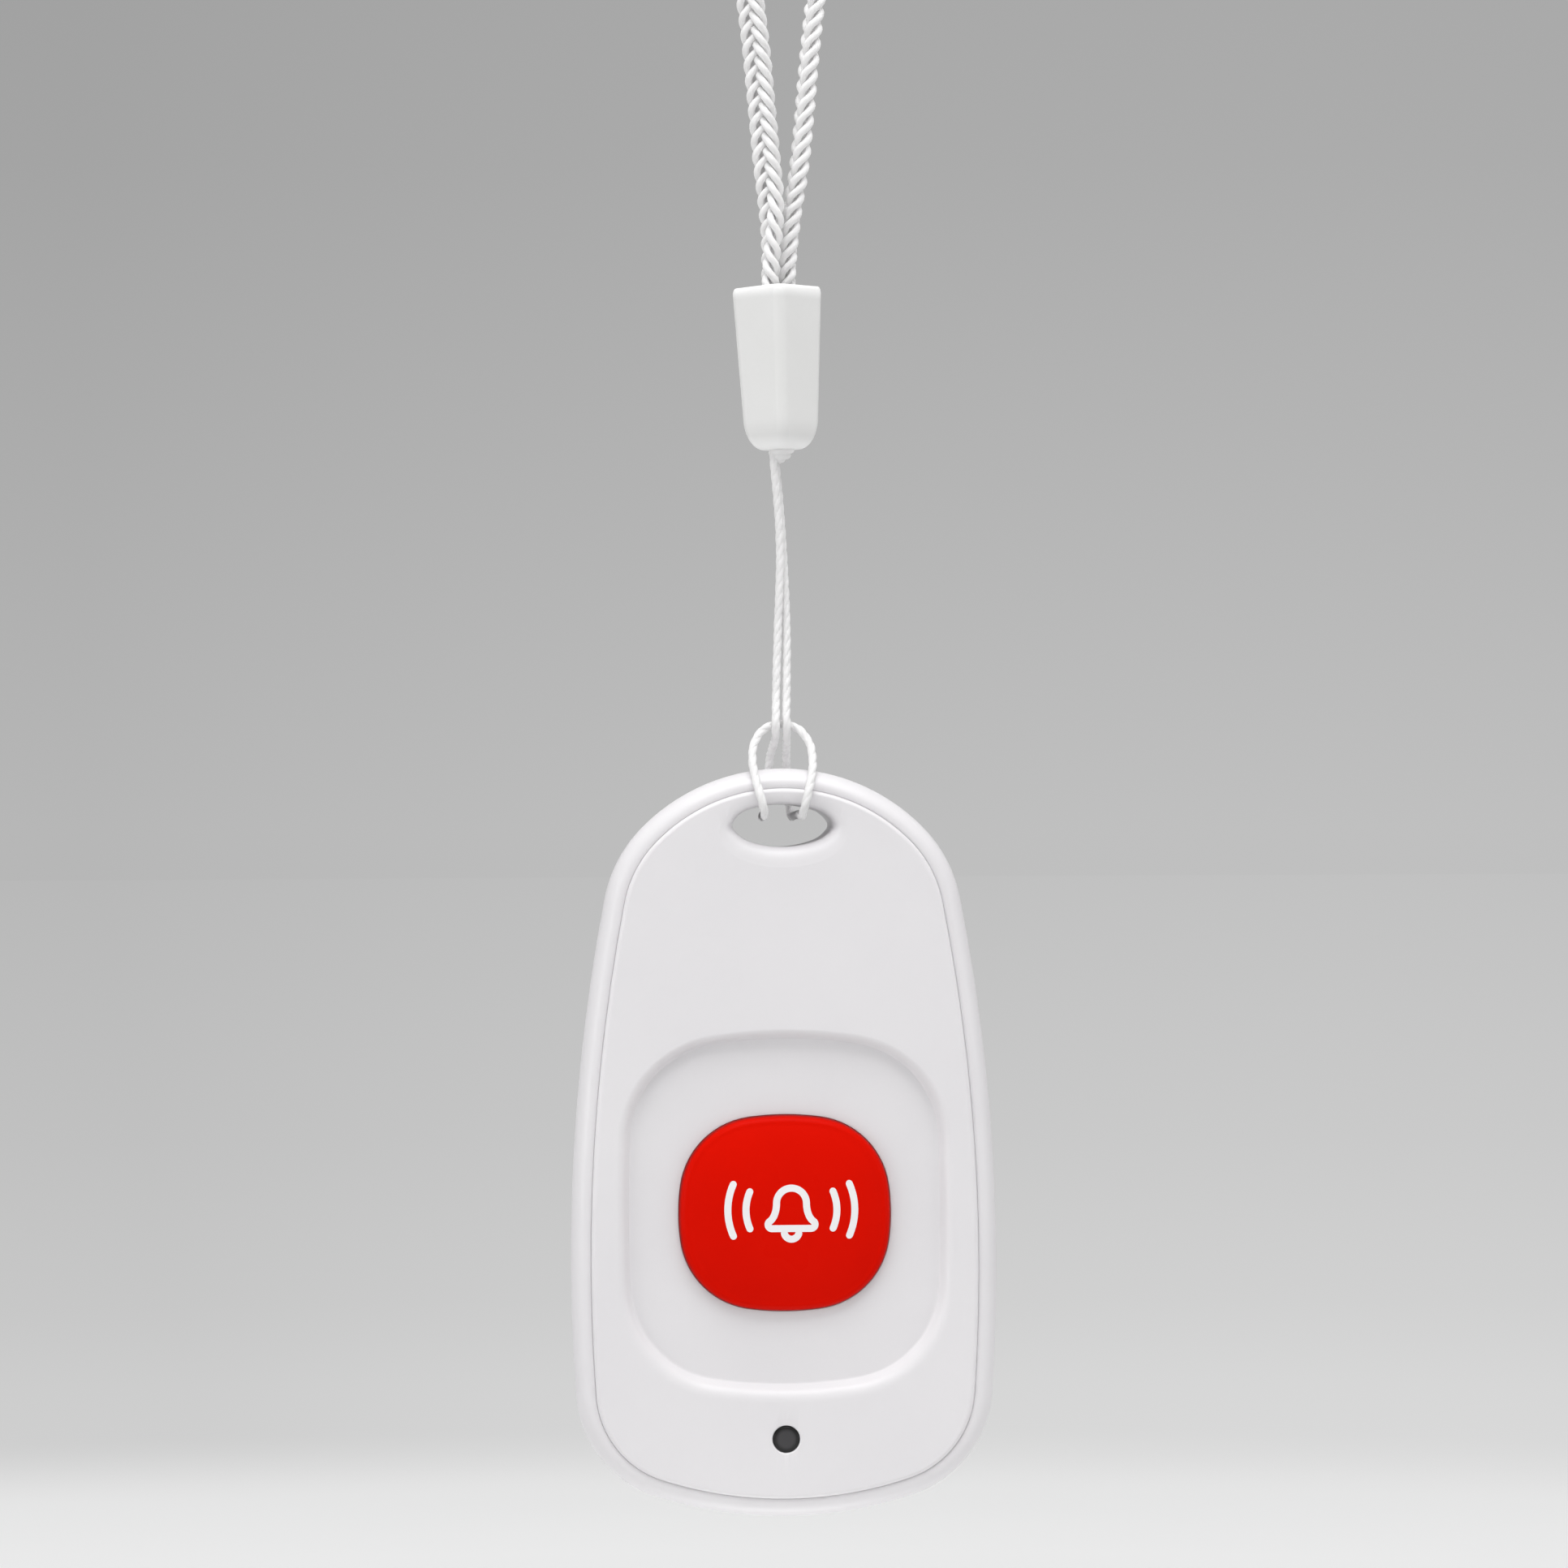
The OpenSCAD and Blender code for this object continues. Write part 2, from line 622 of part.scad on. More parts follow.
dome_h = 0.5;
module switch_dome() color("gold") upright() translate([0, button_y, well_z + seat_gap]) {
    ball = (dome_d * dome_d / 4 + dome_h * dome_h) / (2 * dome_h);
    rise = dome_h - ball;
    intersection() {
        difference() {
            translate([0, 0, rise]) sphere(r = ball);
            translate([0, 0, rise - dome_t]) sphere(r = ball);
        }
        drum(2 * well_r, 0, ball);
    }
}

// Flange under the plate, and a stem that stands on the dome
shoulder_w = 0.3;
shoulder_t = 0.3;
module switch_plunger() color("dimgray") upright() translate([0, button_y, 0]) {
    drum(plunger_d, plate_z - shoulder_t, plunger_top);
    drum(plunger_d + 2 * shoulder_w, plate_z - seat_gap - shoulder_t, plate_z - seat_gap);
    drum(plunger_d / 2, well_z + dome_h + 2 * seat_gap, plate_z - shoulder_t);
}

// Coin cell: a can with its smaller negative cap towards the board
cap_r = cell_d / 2 - 1.1;
cap_step = 0.15;
cell_edge = 0.4;
module coin_cell() color("silver") upright() translate([0, cell_y, 0]) rotate_extrude() polygon([
    [0, cell_back], [cell_d / 2 - cell_edge, cell_back], [cell_d / 2, cell_back + cell_edge],
    [cell_d / 2, cell_front - cap_step - cell_edge], [cell_d / 2 - cell_edge, cell_front - cap_step],
    [cap_r, cell_front - cap_step], [cap_r, cell_front], [0, cell_front]
]);

// Bent blade beside the cell, soldered to the back of the board
blade_x = cell_d / 2 + seat_gap * 2;
blade_w = 4;
foot_w = 2.2;
module positive_contact() color("gold") upright() translate([0, cell_y, 0]) rotate([90, 0, 0])
    linear_extrude(blade_w, center = true) polygon([
        [blade_x, guide_low], [blade_x + contact_t, guide_low], [blade_x + contact_t, board_back - contact_t],
        [blade_x + foot_w, board_back - contact_t], [blade_x + foot_w, board_back], [blade_x, board_back]
    ]);

// Spring finger on the back of the board, pressed down on to the cell's cap
finger = [[-6, 0], [-3.5, 0], [1.5, 1], [2.3, 1], [3.2, 0.6]];
finger_fall = contact_h - contact_t - seat_gap;
module negative_contact() color("gold") upright() translate([0, cell_y, 0]) rotate([90, 0, 0])
    linear_extrude(blade_w, center = true) polygon(concat(
        [for (p = finger) [p.x, board_back - p.y * finger_fall]],
        [for (p = reversed(finger)) [p.x, board_back - p.y * finger_fall - contact_t]]
    ));

// Battery door: a flush disc with a coin slot, a cup round the cell and three lugs under the ledge
coin_r = 9.5;
door_edge = 0.25;
seal_z = ledge_z - seal_d / 2;
module battery_door() color("whitesmoke") upright() translate([0, cell_y, 0]) difference() {
    union() {
        rotate_extrude() polygon([
            [0, back_z + seat_gap], [door_r - door_edge, back_z + seat_gap],
            [door_r, back_z + seat_gap + door_edge], [door_r, door_z], [0, door_z]
        ]);
        rotate_extrude() polygon([
            [cup_in, door_z - door_t / 2], [cup_out, door_z - door_t / 2],
            [cup_out, door_z + cup_h], [cup_in, door_z + cup_h]
        ]);
        for (i = [0:lug_count - 1]) rotate(360 * i / lug_count)
            sector(cup_out - cup_t / 2, lug_r, ledge_top + seat_gap, ledge_top + seat_gap + lug_t, lug_angle);
    }
    rotate_extrude() polygon([
        [seal_r - seal_d / 2 - seat_gap, seal_z - seal_d / 2 - seat_gap],
        [seal_r + seal_d / 2 + seat_gap, seal_z - seal_d / 2 - seat_gap],
        [seal_r + seal_d / 2 + seat_gap, door_z + 1], [seal_r - seal_d / 2 - seat_gap, door_z + 1]
    ]);
    translate([0, 0, back_z + seat_gap + coin_slot_h - coin_r]) rotate([90, 0, 0])
        cylinder(r = coin_r, h = coin_slot_w, center = true);
}

module door_seal() color("black") upright() translate([0, cell_y, seal_z])
    rotate_extrude() translate([seal_r, 0]) circle(d = seal_d - 2 * seat_gap);

// Self-tapping screws from behind the board
module board_screws() color("silver") upright()
    for (x = [-boss_x, boss_x]) translate([x, -boss_drop, 0]) {
        drum(screw_d, board_back - screw_head_h / 2, board_back + screw_l);
        drum(screw_head_d, board_back - seat_gap - screw_head_h, board_back - seat_gap);
    }

// Smooth curve through a route's points, with some steps between each two of them
function bend_at(p, i, t) =
    let(
        a = i == 0 ? 2 * p[0] - p[1] : p[i - 1],
        d = i + 2 > len(p) - 1 ? 2 * p[i + 1] - p[i] : p[i + 2]
    )
    p[i] + ((p[i + 1] - a) * t + (2 * a - 5 * p[i] + 4 * p[i + 1] - d) * t * t
        + (3 * p[i] - a - 3 * p[i + 1] + d) * t * t * t) / 2;
function smooth(p, steps) =
    concat([for (i = [0:len(p) - 2], k = [0:steps - 1]) bend_at(p, i, k / steps)], [p[len(p) - 1]]);

// Directions along a line of points, and one normal each that is carried along without twist
function unit(v) = v / norm(v);
function headings(p) =
    [for (i = [0:len(p) - 1]) unit(p[min(i + 1, len(p) - 1)] - p[max(i - 1, 0)])];
function normals(h, first) = [
    for (i = 0, n = unit(first - (first * h[0]) * h[0]); i < len(h);
        i = i + 1, n = i < len(h) ? unit(n - (n * h[i]) * h[i]) : n) n
];

// Tube along a line of points
tube_sides = 8;
module tube(p, d) {
    h = headings(p);
    n = normals(h, [0, 1, 0]);
    loft([
        for (i = [0:len(p) - 1])
            let(b = cross(h[i], n[i]))
                [for (k = [0:tube_sides - 1]) p[i] + d / 2 * (n[i] * cos(45 * k) + b * sin(45 * k))]
    ]);
}

// The string hangs the case by a lark's head: down the left leg, through the arch to the back,
// forward through the eye, up and over as the arch in front, and the same way back on the right
string_half = [
    [-0.42, -0.38, 29.75], [-0.14, -0.4, 26.5], [0.06, -0.42, 22], [-0.15, -0.6, 16], [-0.34, -1.3, 11.2],
    [-0.42, -2.2, 9], [-0.45, -2.5, 8.1], [-0.46, -2.1, 7.3], [-0.48, -1.3, 6.9], [-0.55, 0.6, 6.4],
    [-0.65, 2.6, 5.7], [-0.75, 4.5, 4.4], [-0.9, 5.7, 2.8], [-1.05, 6.1, 1.6], [-1.2, 5.4, 0.75],
    [-1.3, 3, 0.8], [-1.4, -3, 0.9], [-1.5, -5.2, 0.75], [-1.65, -6.1, 1.5], [-1.95, -6.05, 2.6],
    [-2.27, -5.2, 3.9], [-2.43, -4.2, 5.2], [-2.25, -3.1, 6.6], [-1.4, -2.2, 7.8], [0, -1.6, 8.2]
];
string_other = [
    [-0.22, 0.38, 29.75], [0.06, 0.4, 26.5], [0.36, 0.42, 22], [0.57, -0.3, 16], [0.5, -1.3, 11.2]
];
string_route = concat(
    string_half,
    [for (i = [len(string_half) - 2:-1:5]) [-string_half[i].x, string_half[i].y, string_half[i].z]],
    reversed(string_other)
);
module strap_string() color("white") tube(smooth(string_route, 2), string_d);

// Ferrule of a rounded square set on edge, which tapers to its foot, with a hole for the string
ferrule_at = [0.25, 0, 30.6];
ferrule_corner = 0.8;
ferrule_foot_round = [1.15, 1.8];
ferrule_lip = 0.25;
ferrule_base = 3;
knot_r = 0.9;
module leaning() translate(ferrule_at) rotate([0, -ferrule_lean, 0]) children();

function square_ring(side, z) = [
    for (q = [0:3], k = [0:4])
        let(
            middle = (side / 2 - ferrule_corner) * sqrt(2) * dir(90 * q),
            p = middle + ferrule_corner * dir(90 * q - 45 + 22.5 * k)
        )
            [p.x, p.y, z]
];
function ferrule_side(z) = ferrule_foot_w + (ferrule_w - ferrule_foot_w) * z / ferrule_h;
module cord_ferrule() color("ghostwhite") leaning() difference() {
    loft([
        for (s = concat(
            reversed(quarter([0, ferrule_foot_round[1]], [2 * ferrule_foot_round[0], 0], 5)),
            quarter([0, ferrule_h - ferrule_lip], [ferrule_lip, ferrule_h], 2),
            [[2 * ferrule_wall, ferrule_h - ferrule_lip], [2 * ferrule_wall, ferrule_base]]
        )) square_ring(ferrule_side(s[1]) - s[0], s[1])
    ]);
    drum(2 * knot_r + 2 * turn_gap, -1, ferrule_base + 1);
}

// Knot that joins string and cord inside the ferrule, with its tail in the ferrule's hole
knot_top = 8.6;
knot_tail = 0.8;
module string_knot() color("white") leaning() {
    drum(2 * knot_r, -knot_tail, ferrule_base + 1);
    drum(3 * knot_r, ferrule_base + seat_gap, knot_top);
}

// The braided cord rises from the ferrule, spreads and closes in a loop at the top
cord_left = [
    [-0.7, -0.66, 39.4], [-0.68, -0.66, 43], [-0.58, -0.66, 46], [-0.52, -0.5, 50], [-0.95, -0.15, 55],
    [-2.1, 0.1, 66.9], [-4.4, 0.1, 82], [-6.7, 0, 97], [-8.3, 0, 110], [-7.7, 0, 120], [-4.5, 0, 127], [0.5, 0, 129.6]
];
cord_right = [
    [0.72, 0.66, 39.4], [0.76, 0.66, 43], [0.84, 0.66, 46], [1.24, 0.5, 50], [1.95, 0.25, 55],
    [3.13, 0, 66.9], [5.4, 0, 82], [7.7, 0, 97], [9.3, 0, 110], [8.7, 0, 120], [5.5, 0, 127]
];
module neck_cord() color("gainsboro") tube(smooth(concat(cord_left, reversed(cord_right)), 2), cord_d);

rear_shell();
front_cover();
button_cap();
indicator_lens();
indicator_diode();
circuit_board();
antenna_trace();
encoder_chip();
saw_resonator();
chip_capacitors();
chip_resistors();
switch_base();
switch_terminals();
switch_dome();
switch_plunger();
switch_plate();
coin_cell();
positive_contact();
negative_contact();
battery_door();
door_seal();
board_screws();
strap_string();
string_knot();
cord_ferrule();
neck_cord();
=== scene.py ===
# %% [markdown]
# # A wireless panic button
#
# A pendant in a white two-part case, with a red button in a shallow pocket, hangs by a thin string,
# a ferrule and a braided cord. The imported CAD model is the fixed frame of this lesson: it says where
# every piece is and how it moves. What is made here are the looks: skins that are finer than the CAD
# solids, cords with their real yarns, and the finish of every surface.

import math
from math import cos, pi, radians, sin

import bmesh
import bpy
from mathutils import Matrix, Vector


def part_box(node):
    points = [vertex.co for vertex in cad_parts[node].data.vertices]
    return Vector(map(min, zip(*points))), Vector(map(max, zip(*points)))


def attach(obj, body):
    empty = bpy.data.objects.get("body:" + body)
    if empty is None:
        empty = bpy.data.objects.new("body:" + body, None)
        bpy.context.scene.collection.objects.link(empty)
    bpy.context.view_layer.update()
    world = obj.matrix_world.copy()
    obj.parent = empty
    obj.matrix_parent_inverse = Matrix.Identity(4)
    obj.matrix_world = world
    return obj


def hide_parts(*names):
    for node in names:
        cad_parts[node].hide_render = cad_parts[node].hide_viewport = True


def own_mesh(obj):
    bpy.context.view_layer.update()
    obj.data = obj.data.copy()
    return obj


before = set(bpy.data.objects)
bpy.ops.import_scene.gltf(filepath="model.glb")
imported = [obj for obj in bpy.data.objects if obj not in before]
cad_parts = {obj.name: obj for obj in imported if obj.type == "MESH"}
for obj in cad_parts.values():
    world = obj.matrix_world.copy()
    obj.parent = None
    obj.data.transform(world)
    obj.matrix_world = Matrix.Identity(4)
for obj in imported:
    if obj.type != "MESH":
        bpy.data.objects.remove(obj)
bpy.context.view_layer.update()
MM = 0.001

# %% [markdown]
# ## Camera
#
# The camera could be aimed by eye, but its place was worked out from the picture: it stands level
# with the top of the case, a little to its left, with a long lens that keeps the outline almost free
# of perspective. The three angles are a turn round the case, a rise and a roll.

# %% Camera
camera_distance = 420 * MM
camera_lens = 118.45
camera_aim = (0.326 * MM, 3.373 * MM)
turn, rise, roll = (radians(angle) for angle in (-3.0, -0.5, 0.25))
back = Vector((sin(turn) * cos(rise), -cos(turn) * cos(rise), sin(rise)))
right = Vector((cos(turn), sin(turn), 0))
up = back.cross(right)
pose = Matrix((
    right * cos(roll) - up * sin(roll),
    right * sin(roll) + up * cos(roll),
    back,
)).transposed().to_4x4()
pose.translation = right * camera_aim[0] + Vector((0, 0, camera_aim[1])) + back * camera_distance
bpy.ops.object.camera_add()
camera = bpy.context.object
camera.name = "camera"
camera.matrix_world = pose
camera.data.lens = camera_lens
camera.data.clip_start = 0.01
scene = bpy.context.scene
scene.camera = camera
scene.view_settings.view_transform = "Standard"
print("camera at", [round(x, 3) for x in camera.location], "lens", camera_lens)

# %% [markdown]
# ## Lines for the cords
#
# A cord follows a list of points, the same as in the CAD source. A smooth curve goes
# through them, is cut into equal steps, and a direction is carried along it without twist, so that
# yarns can be wound round it evenly.

# %% Lines for the cords
def bend(p, i, t):
    """Point between two points of a route, on a curve that goes through all of them."""
    a = p[i - 1] if i else 2 * p[0] - p[1]
    d = p[i + 2] if i + 2 < len(p) else 2 * p[i + 1] - p[i]
    b, c = p[i], p[i + 1]
    return b + ((c - a) * t + (2 * a - 5 * b + 4 * c - d) * t ** 2 + (3 * b - a - 3 * c + d) * t ** 3) / 2


def smooth_line(route, step):
    """Equal steps along the curve through a route, in metres."""
    points = [Vector(p) * MM for p in route]
    fine = [bend(points, i, k / 40) for i in range(len(points) - 1) for k in range(40)] + [points[-1]]
    line, need = [fine[0]], step
    for a, b in zip(fine, fine[1:]):
        gap = (b - a).length
        while need <= gap:
            line.append(a.lerp(b, need / gap))
            need += step
        need -= gap
    return line


def carried_sides(line, first):
    """Two side directions at each point of a line; the first one is carried along without twist."""
    sides, side = [], Vector(first)
    for i, _ in enumerate(line):
        heading = (line[min(i + 1, len(line) - 1)] - line[max(i - 1, 0)]).normalized()
        side = (side - side.dot(heading) * heading).normalized()
        sides.append((side, heading.cross(side)))
    return sides


def yarn(name, points, thickness, round_steps):
    """Round yarn through points, as a curve with a round bevel."""
    curve = bpy.data.curves.new(name, "CURVE")
    curve.dimensions = "3D"
    curve.bevel_depth = thickness / 2
    curve.bevel_resolution = round_steps
    curve.use_fill_caps = True
    spline = curve.splines.new("POLY")
    spline.points.add(len(points) - 1)
    for place, p in zip(spline.points, points):
        place.co = (*p, 1)
    piece = bpy.data.objects.new(name, curve)
    scene.collection.objects.link(piece)
    return piece


def active(*pieces):
    """Selects these pieces only and makes the first one active, as clicks do."""
    bpy.ops.object.select_all(action="DESELECT")
    for piece in pieces:
        piece.select_set(True)
    bpy.context.view_layer.objects.active = pieces[0]


def joined(name, pieces):
    """Several pieces as one."""
    active(*pieces)
    bpy.ops.object.join()
    whole = bpy.context.object
    whole.name = name
    return whole


def made_one(name, yarns):
    """Several yarns turned into meshes and joined as one piece."""
    active(*yarns)
    bpy.ops.object.convert(target="MESH")
    whole = joined(name, yarns)
    bpy.ops.object.shade_smooth()
    return whole


print("a cord's line is cut into equal steps and carries two side directions")

# %% [markdown]
# ## String
#
# The string is a nylon twine of three plies. It comes down out of the ferrule, passes through its own
# arch to the back, forward through the eye, up and over as the arch in front, and the same way back: a
# lark's head. A bump texture could show the twist, but at the edge of the string only real plies do.
# The route is the one of the CAD source, with a tip at each end that reaches into the knot.

# %% String
string_half = [
    (-0.42, -0.38, 29.75), (-0.14, -0.4, 26.5), (0.06, -0.42, 22), (-0.15, -0.6, 16), (-0.34, -1.3, 11.2),
    (-0.42, -2.2, 9), (-0.45, -2.5, 8.1), (-0.46, -2.1, 7.3), (-0.48, -1.3, 6.9), (-0.55, 0.6, 6.4),
    (-0.65, 2.6, 5.7), (-0.75, 4.5, 4.4), (-0.9, 5.7, 2.8), (-1.05, 6.1, 1.6), (-1.2, 5.4, 0.75),
    (-1.3, 3, 0.8), (-1.4, -3, 0.9), (-1.5, -5.2, 0.75), (-1.65, -6.1, 1.5), (-1.95, -6.05, 2.6),
    (-2.27, -5.2, 3.9), (-2.43, -4.2, 5.2), (-2.25, -3.1, 6.6), (-1.4, -2.2, 7.8), (0, -1.6, 8.2),
]
string_other = [
    (-0.22, 0.38, 29.75), (0.06, 0.4, 26.5), (0.36, 0.42, 22), (0.57, -0.3, 16), (0.5, -1.3, 11.2),
]
string_tips = [(-0.35, -0.3, 31.6), (-0.15, 0.3, 31.6)]
string_back = [(-x, y, z) for x, y, z in string_half[-2:4:-1]]
string_route = string_tips[:1] + string_half + string_back + string_other[::-1] + string_tips[1:]
string_d = 0.7 * MM
plies = 3
ply_d = 0.5 * MM
twist_length = 3 * MM
string_step = 0.16 * MM


def wound(line, sides, start):
    """Points of a ply that winds round a line."""
    points, radius = [], (string_d - ply_d) / 2
    for i, (p, (side, other)) in enumerate(zip(line, sides)):
        angle = 2 * pi * (start + i * string_step / twist_length)
        points.append(p + radius * (side * cos(angle) + other * sin(angle)))
    return points


string_line = smooth_line(string_route, string_step)
string_sides = carried_sides(string_line, (0, 1, 0))
string = made_one("string_plies", [
    yarn("ply", wound(string_line, string_sides, k / plies), ply_d, 2) for k in range(plies)
])
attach(string, "case")
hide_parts("strap_string")

# %% [markdown]
# ## Braided cord
#
# The neck cord is a flat braid: its yarns run a figure of eight, so that each crosses over the front
# of one edge and the back of the other, which gives two columns of slanting stitches with a groove
# between them. The figure of eight is two sines, one of them at twice the pace. Five yarns make the
# stitches steep, because each takes five stitches for one round of the figure. The flat side turns
# along the cord: the left strand shows most of its face, the right one less, and where the two meet
# above the ferrule both stand on edge, side by side.

# %% Braided cord
cord_left = [
    (-0.7, -0.66, 39.4), (-0.68, -0.66, 43), (-0.58, -0.66, 46), (-0.52, -0.5, 50), (-0.95, -0.15, 55),
    (-2.1, 0.1, 66.9), (-4.4, 0.1, 82), (-6.7, 0, 97), (-8.3, 0, 110), (-7.7, 0, 120), (-4.5, 0, 127),
    (0.5, 0, 129.6),
]
cord_right = [
    (0.72, 0.66, 39.4), (0.76, 0.66, 43), (0.84, 0.66, 46), (1.24, 0.5, 50), (1.95, 0.25, 55),
    (3.13, 0, 66.9), (5.4, 0, 82), (7.7, 0, 97), (9.3, 0, 110), (8.7, 0, 120), (5.5, 0, 127),
]
braid_w = 2.4 * MM
braid_t = 1.5 * MM
braid_yarns = 5
braid_yarn_d = 0.6 * MM
stitch_length = 1.25 * MM
braid_step = 0.2 * MM
strand_turns = (-34, 82)
mouth_turns = (-90, 90)
mouth_levels = (45 * MM, 54 * MM)


def eased(value, low, high):
    """Share from 0 to 1 of a value between two levels, slow at both ends."""
    share = min(1, max(0, (value - low) / (high - low)))
    return share * share * (3 - 2 * share)


def flat_turn(level, share):
    """Turn of the braid's flat side at a level, for a share of the cord's length."""
    over = eased(share, 0.35, 0.65)
    strand = strand_turns[0] + (strand_turns[1] - strand_turns[0]) * over
    mouth = mouth_turns[0] + (mouth_turns[1] - mouth_turns[0]) * over
    return radians(mouth + (strand - mouth) * eased(level, *mouth_levels))


def braided(line, sides, start):
    """Points of one yarn of the flat braid."""
    points, pitch = [], braid_yarns * stitch_length
    reach = (braid_w - braid_yarn_d) / 2
    depth = (braid_t - braid_yarn_d) / 2
    for i, (p, (side, other)) in enumerate(zip(line, sides)):
        flat = flat_turn(p.z, i / len(line))
        across = side * cos(flat) + other * sin(flat)
        through = other * cos(flat) - side * sin(flat)
        angle = 2 * pi * (start + i * braid_step / pitch)
        points.append(p + across * reach * sin(angle) + through * depth * sin(2 * angle))
    return points


cord_line = smooth_line(cord_left + cord_right[::-1], braid_step)
cord_sides = carried_sides(cord_line, (1, 0, 0))
cord = made_one("cord_braid", [
    yarn("braid_yarn", braided(cord_line, cord_sides, k / braid_yarns), braid_yarn_d, 2)
    for k in range(braid_yarns)
])
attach(cord, "case")
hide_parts("neck_cord")

# %% [markdown]
# ## Outlines
#
# Case, pocket, button and eye have outlines of the same kind: five arcs down each side, each of which
# starts in the direction in which the last one ends. An outline that is drawn in keeps its centres and
# loses radius, so the rings of a rounded edge stay an even distance apart. Points are laid flat, with
# the front up, and are stood upright when they become a mesh.

# %% Outlines
ARC_STEPS = (18, 14, 12, 22, 12)
case_w = 34.4


def direction(degrees):
    return Vector((cos(radians(degrees)), sin(radians(degrees))))


def arc_chain(width, height, shoulder, hip, bends):
    """Centre, radius and two angles of the five arcs of an outline's right half, with its top at 0."""
    c = [cos(radians(b)) for b in bends]
    s = [sin(radians(b)) for b in bends]
    crown_most = (width / 2 - shoulder * (c[1] - c[0])) / c[0]
    crown_less = (1 - c[1]) / c[0]
    base_most = (width / 2 - hip * (c[2] - c[3])) / c[3]
    base_less = (1 - c[2]) / c[3]
    rest = height - crown_most * (1 - s[0]) - base_most * (1 - s[3])
    rest -= shoulder * (s[0] - s[1]) + hip * (s[3] - s[2])
    flank = rest / (s[1] + s[2] - crown_less * (1 - s[0]) - base_less * (1 - s[3]))
    radii = (crown_most - crown_less * flank, shoulder, flank, hip, base_most - base_less * flank)
    turns = (90, bends[0], bends[1], -bends[2], -bends[3], -90)
    centre, arcs = Vector((0, -radii[0])), []
    for i, radius in enumerate(radii):
        arcs.append((centre.copy(), radius, turns[i], turns[i + 1]))
        if i < 4:
            centre += (radius - radii[i + 1]) * direction(turns[i + 1])
    return arcs


def outline(arcs, top, inset):
    """Points round an outline that is drawn in by an inset."""
    half = []
    for (centre, radius, first, last), steps in zip(arcs, ARC_STEPS):
        for k in range(steps):
            p = centre + (radius - inset) * direction(first + (last - first) * k / steps)
            half.append((p.x, p.y + top))
    centre, radius = arcs[-1][:2]
    foot = (0, centre.y - radius + inset + top)
    return half + [foot] + [(-x, y) for x, y in half[:0:-1]]


def level_ring(points, z):
    return [(x, y, z) for x, y in points]


def rounding(a, b, steps, share=1.0):
    """Quarter ellipse of (inset, level) pairs that leaves its first end upright."""
    return [
        (b[0] + (a[0] - b[0]) * cos(t), a[1] + (b[1] - a[1]) * sin(t))
        for t in (pi / 2 * share * k / steps for k in range(steps + 1))
    ]


case_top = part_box("rear_shell")[1].z / MM
case_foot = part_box("rear_shell")[0].z / MM
case_arcs = arc_chain(case_w, case_top - case_foot, 11.2, 9.3, (45, 11, 4, 72))
print("case outline:", [round(r, 1) for _, r, _, _ in case_arcs], "mm radii,", 2 * sum(ARC_STEPS), "points")

# %% [markdown]
# ## Skins
#
# A moulded shell can be built by extruding its outline again and again, as one does by hand: a circle
# is added, its points are laid on the first ring, and each extrusion is laid on the next one. Every
# point carries the number of its spot on the ring, because an extrusion doesn't promise an order.

# %% Skins
def stood_up(p):
    """A point drawn lying flat, in millimetres, as a place in the upright frame, in metres."""
    return Vector((p[0], -p[2], p[1])) * MM


def lay(piece, ring, place):
    """Moves the selected points of a mesh to their spots on a ring."""
    mesh = bmesh.from_edit_mesh(piece.data)
    spot = mesh.verts.layers.int["spot"]
    for v in [v for v in mesh.verts if v.select]:
        v.co = place(ring[v[spot]])
    bmesh.update_edit_mesh(piece.data, loop_triangles=False, destructive=False)


def turned_out():
    """Turns all faces of the edited mesh outwards and leaves edit mode."""
    bpy.ops.mesh.select_all(action="SELECT")
    bpy.ops.mesh.normals_make_consistent(inside=False)
    bpy.ops.object.mode_set(mode="OBJECT")


def skin(name, rings, ends="capped", place=stood_up):
    """Mesh through rings of points; its ends are capped, left open, or joined to each other."""
    bpy.ops.object.select_all(action="DESELECT")
    fill = "NGON" if ends == "capped" else "NOTHING"
    bpy.ops.mesh.primitive_circle_add(vertices=len(rings[0]), fill_type=fill)
    piece = bpy.context.object
    piece.name = name
    bpy.ops.object.mode_set(mode="EDIT")
    mesh = bmesh.from_edit_mesh(piece.data)
    spot = mesh.verts.layers.int.new("spot")
    for i, v in enumerate(mesh.verts):
        v[spot] = i
    lay(piece, rings[0], place)
    for ring in rings[1:]:
        if ends == "capped":
            bpy.ops.mesh.extrude_region_move()
        else:
            bpy.ops.mesh.extrude_edges_move()
        lay(piece, ring, place)
    if ends == "joined":
        bpy.ops.mesh.select_all(action="DESELECT")
        bpy.ops.mesh.select_non_manifold()
        bpy.ops.mesh.bridge_edge_loops()
    turned_out()
    piece.data.attributes.remove(piece.data.attributes["spot"])
    return piece


def filled(piece, level):
    """Closes the flat between the open rims of a piece that lie at one level."""
    active(piece)
    bpy.ops.object.mode_set(mode="EDIT")
    bpy.ops.mesh.select_all(action="DESELECT")
    mesh = bmesh.from_edit_mesh(piece.data)
    for e in mesh.edges:
        e.select_set(e.is_boundary and all(abs(v.co.y / MM + level) < 0.001 for v in e.verts))
    bmesh.update_edit_mesh(piece.data, loop_triangles=False, destructive=False)
    bpy.ops.mesh.fill()
    turned_out()


def combined(piece, tool, operation):
    """Adds a second mesh to a piece, or cuts it out, and removes it."""
    modifier = piece.modifiers.new("combine", "BOOLEAN")
    modifier.operation = operation
    modifier.solver = "EXACT"
    modifier.object = tool
    active(piece)
    bpy.ops.object.modifier_apply(modifier=modifier.name)
    bpy.data.objects.remove(tool)


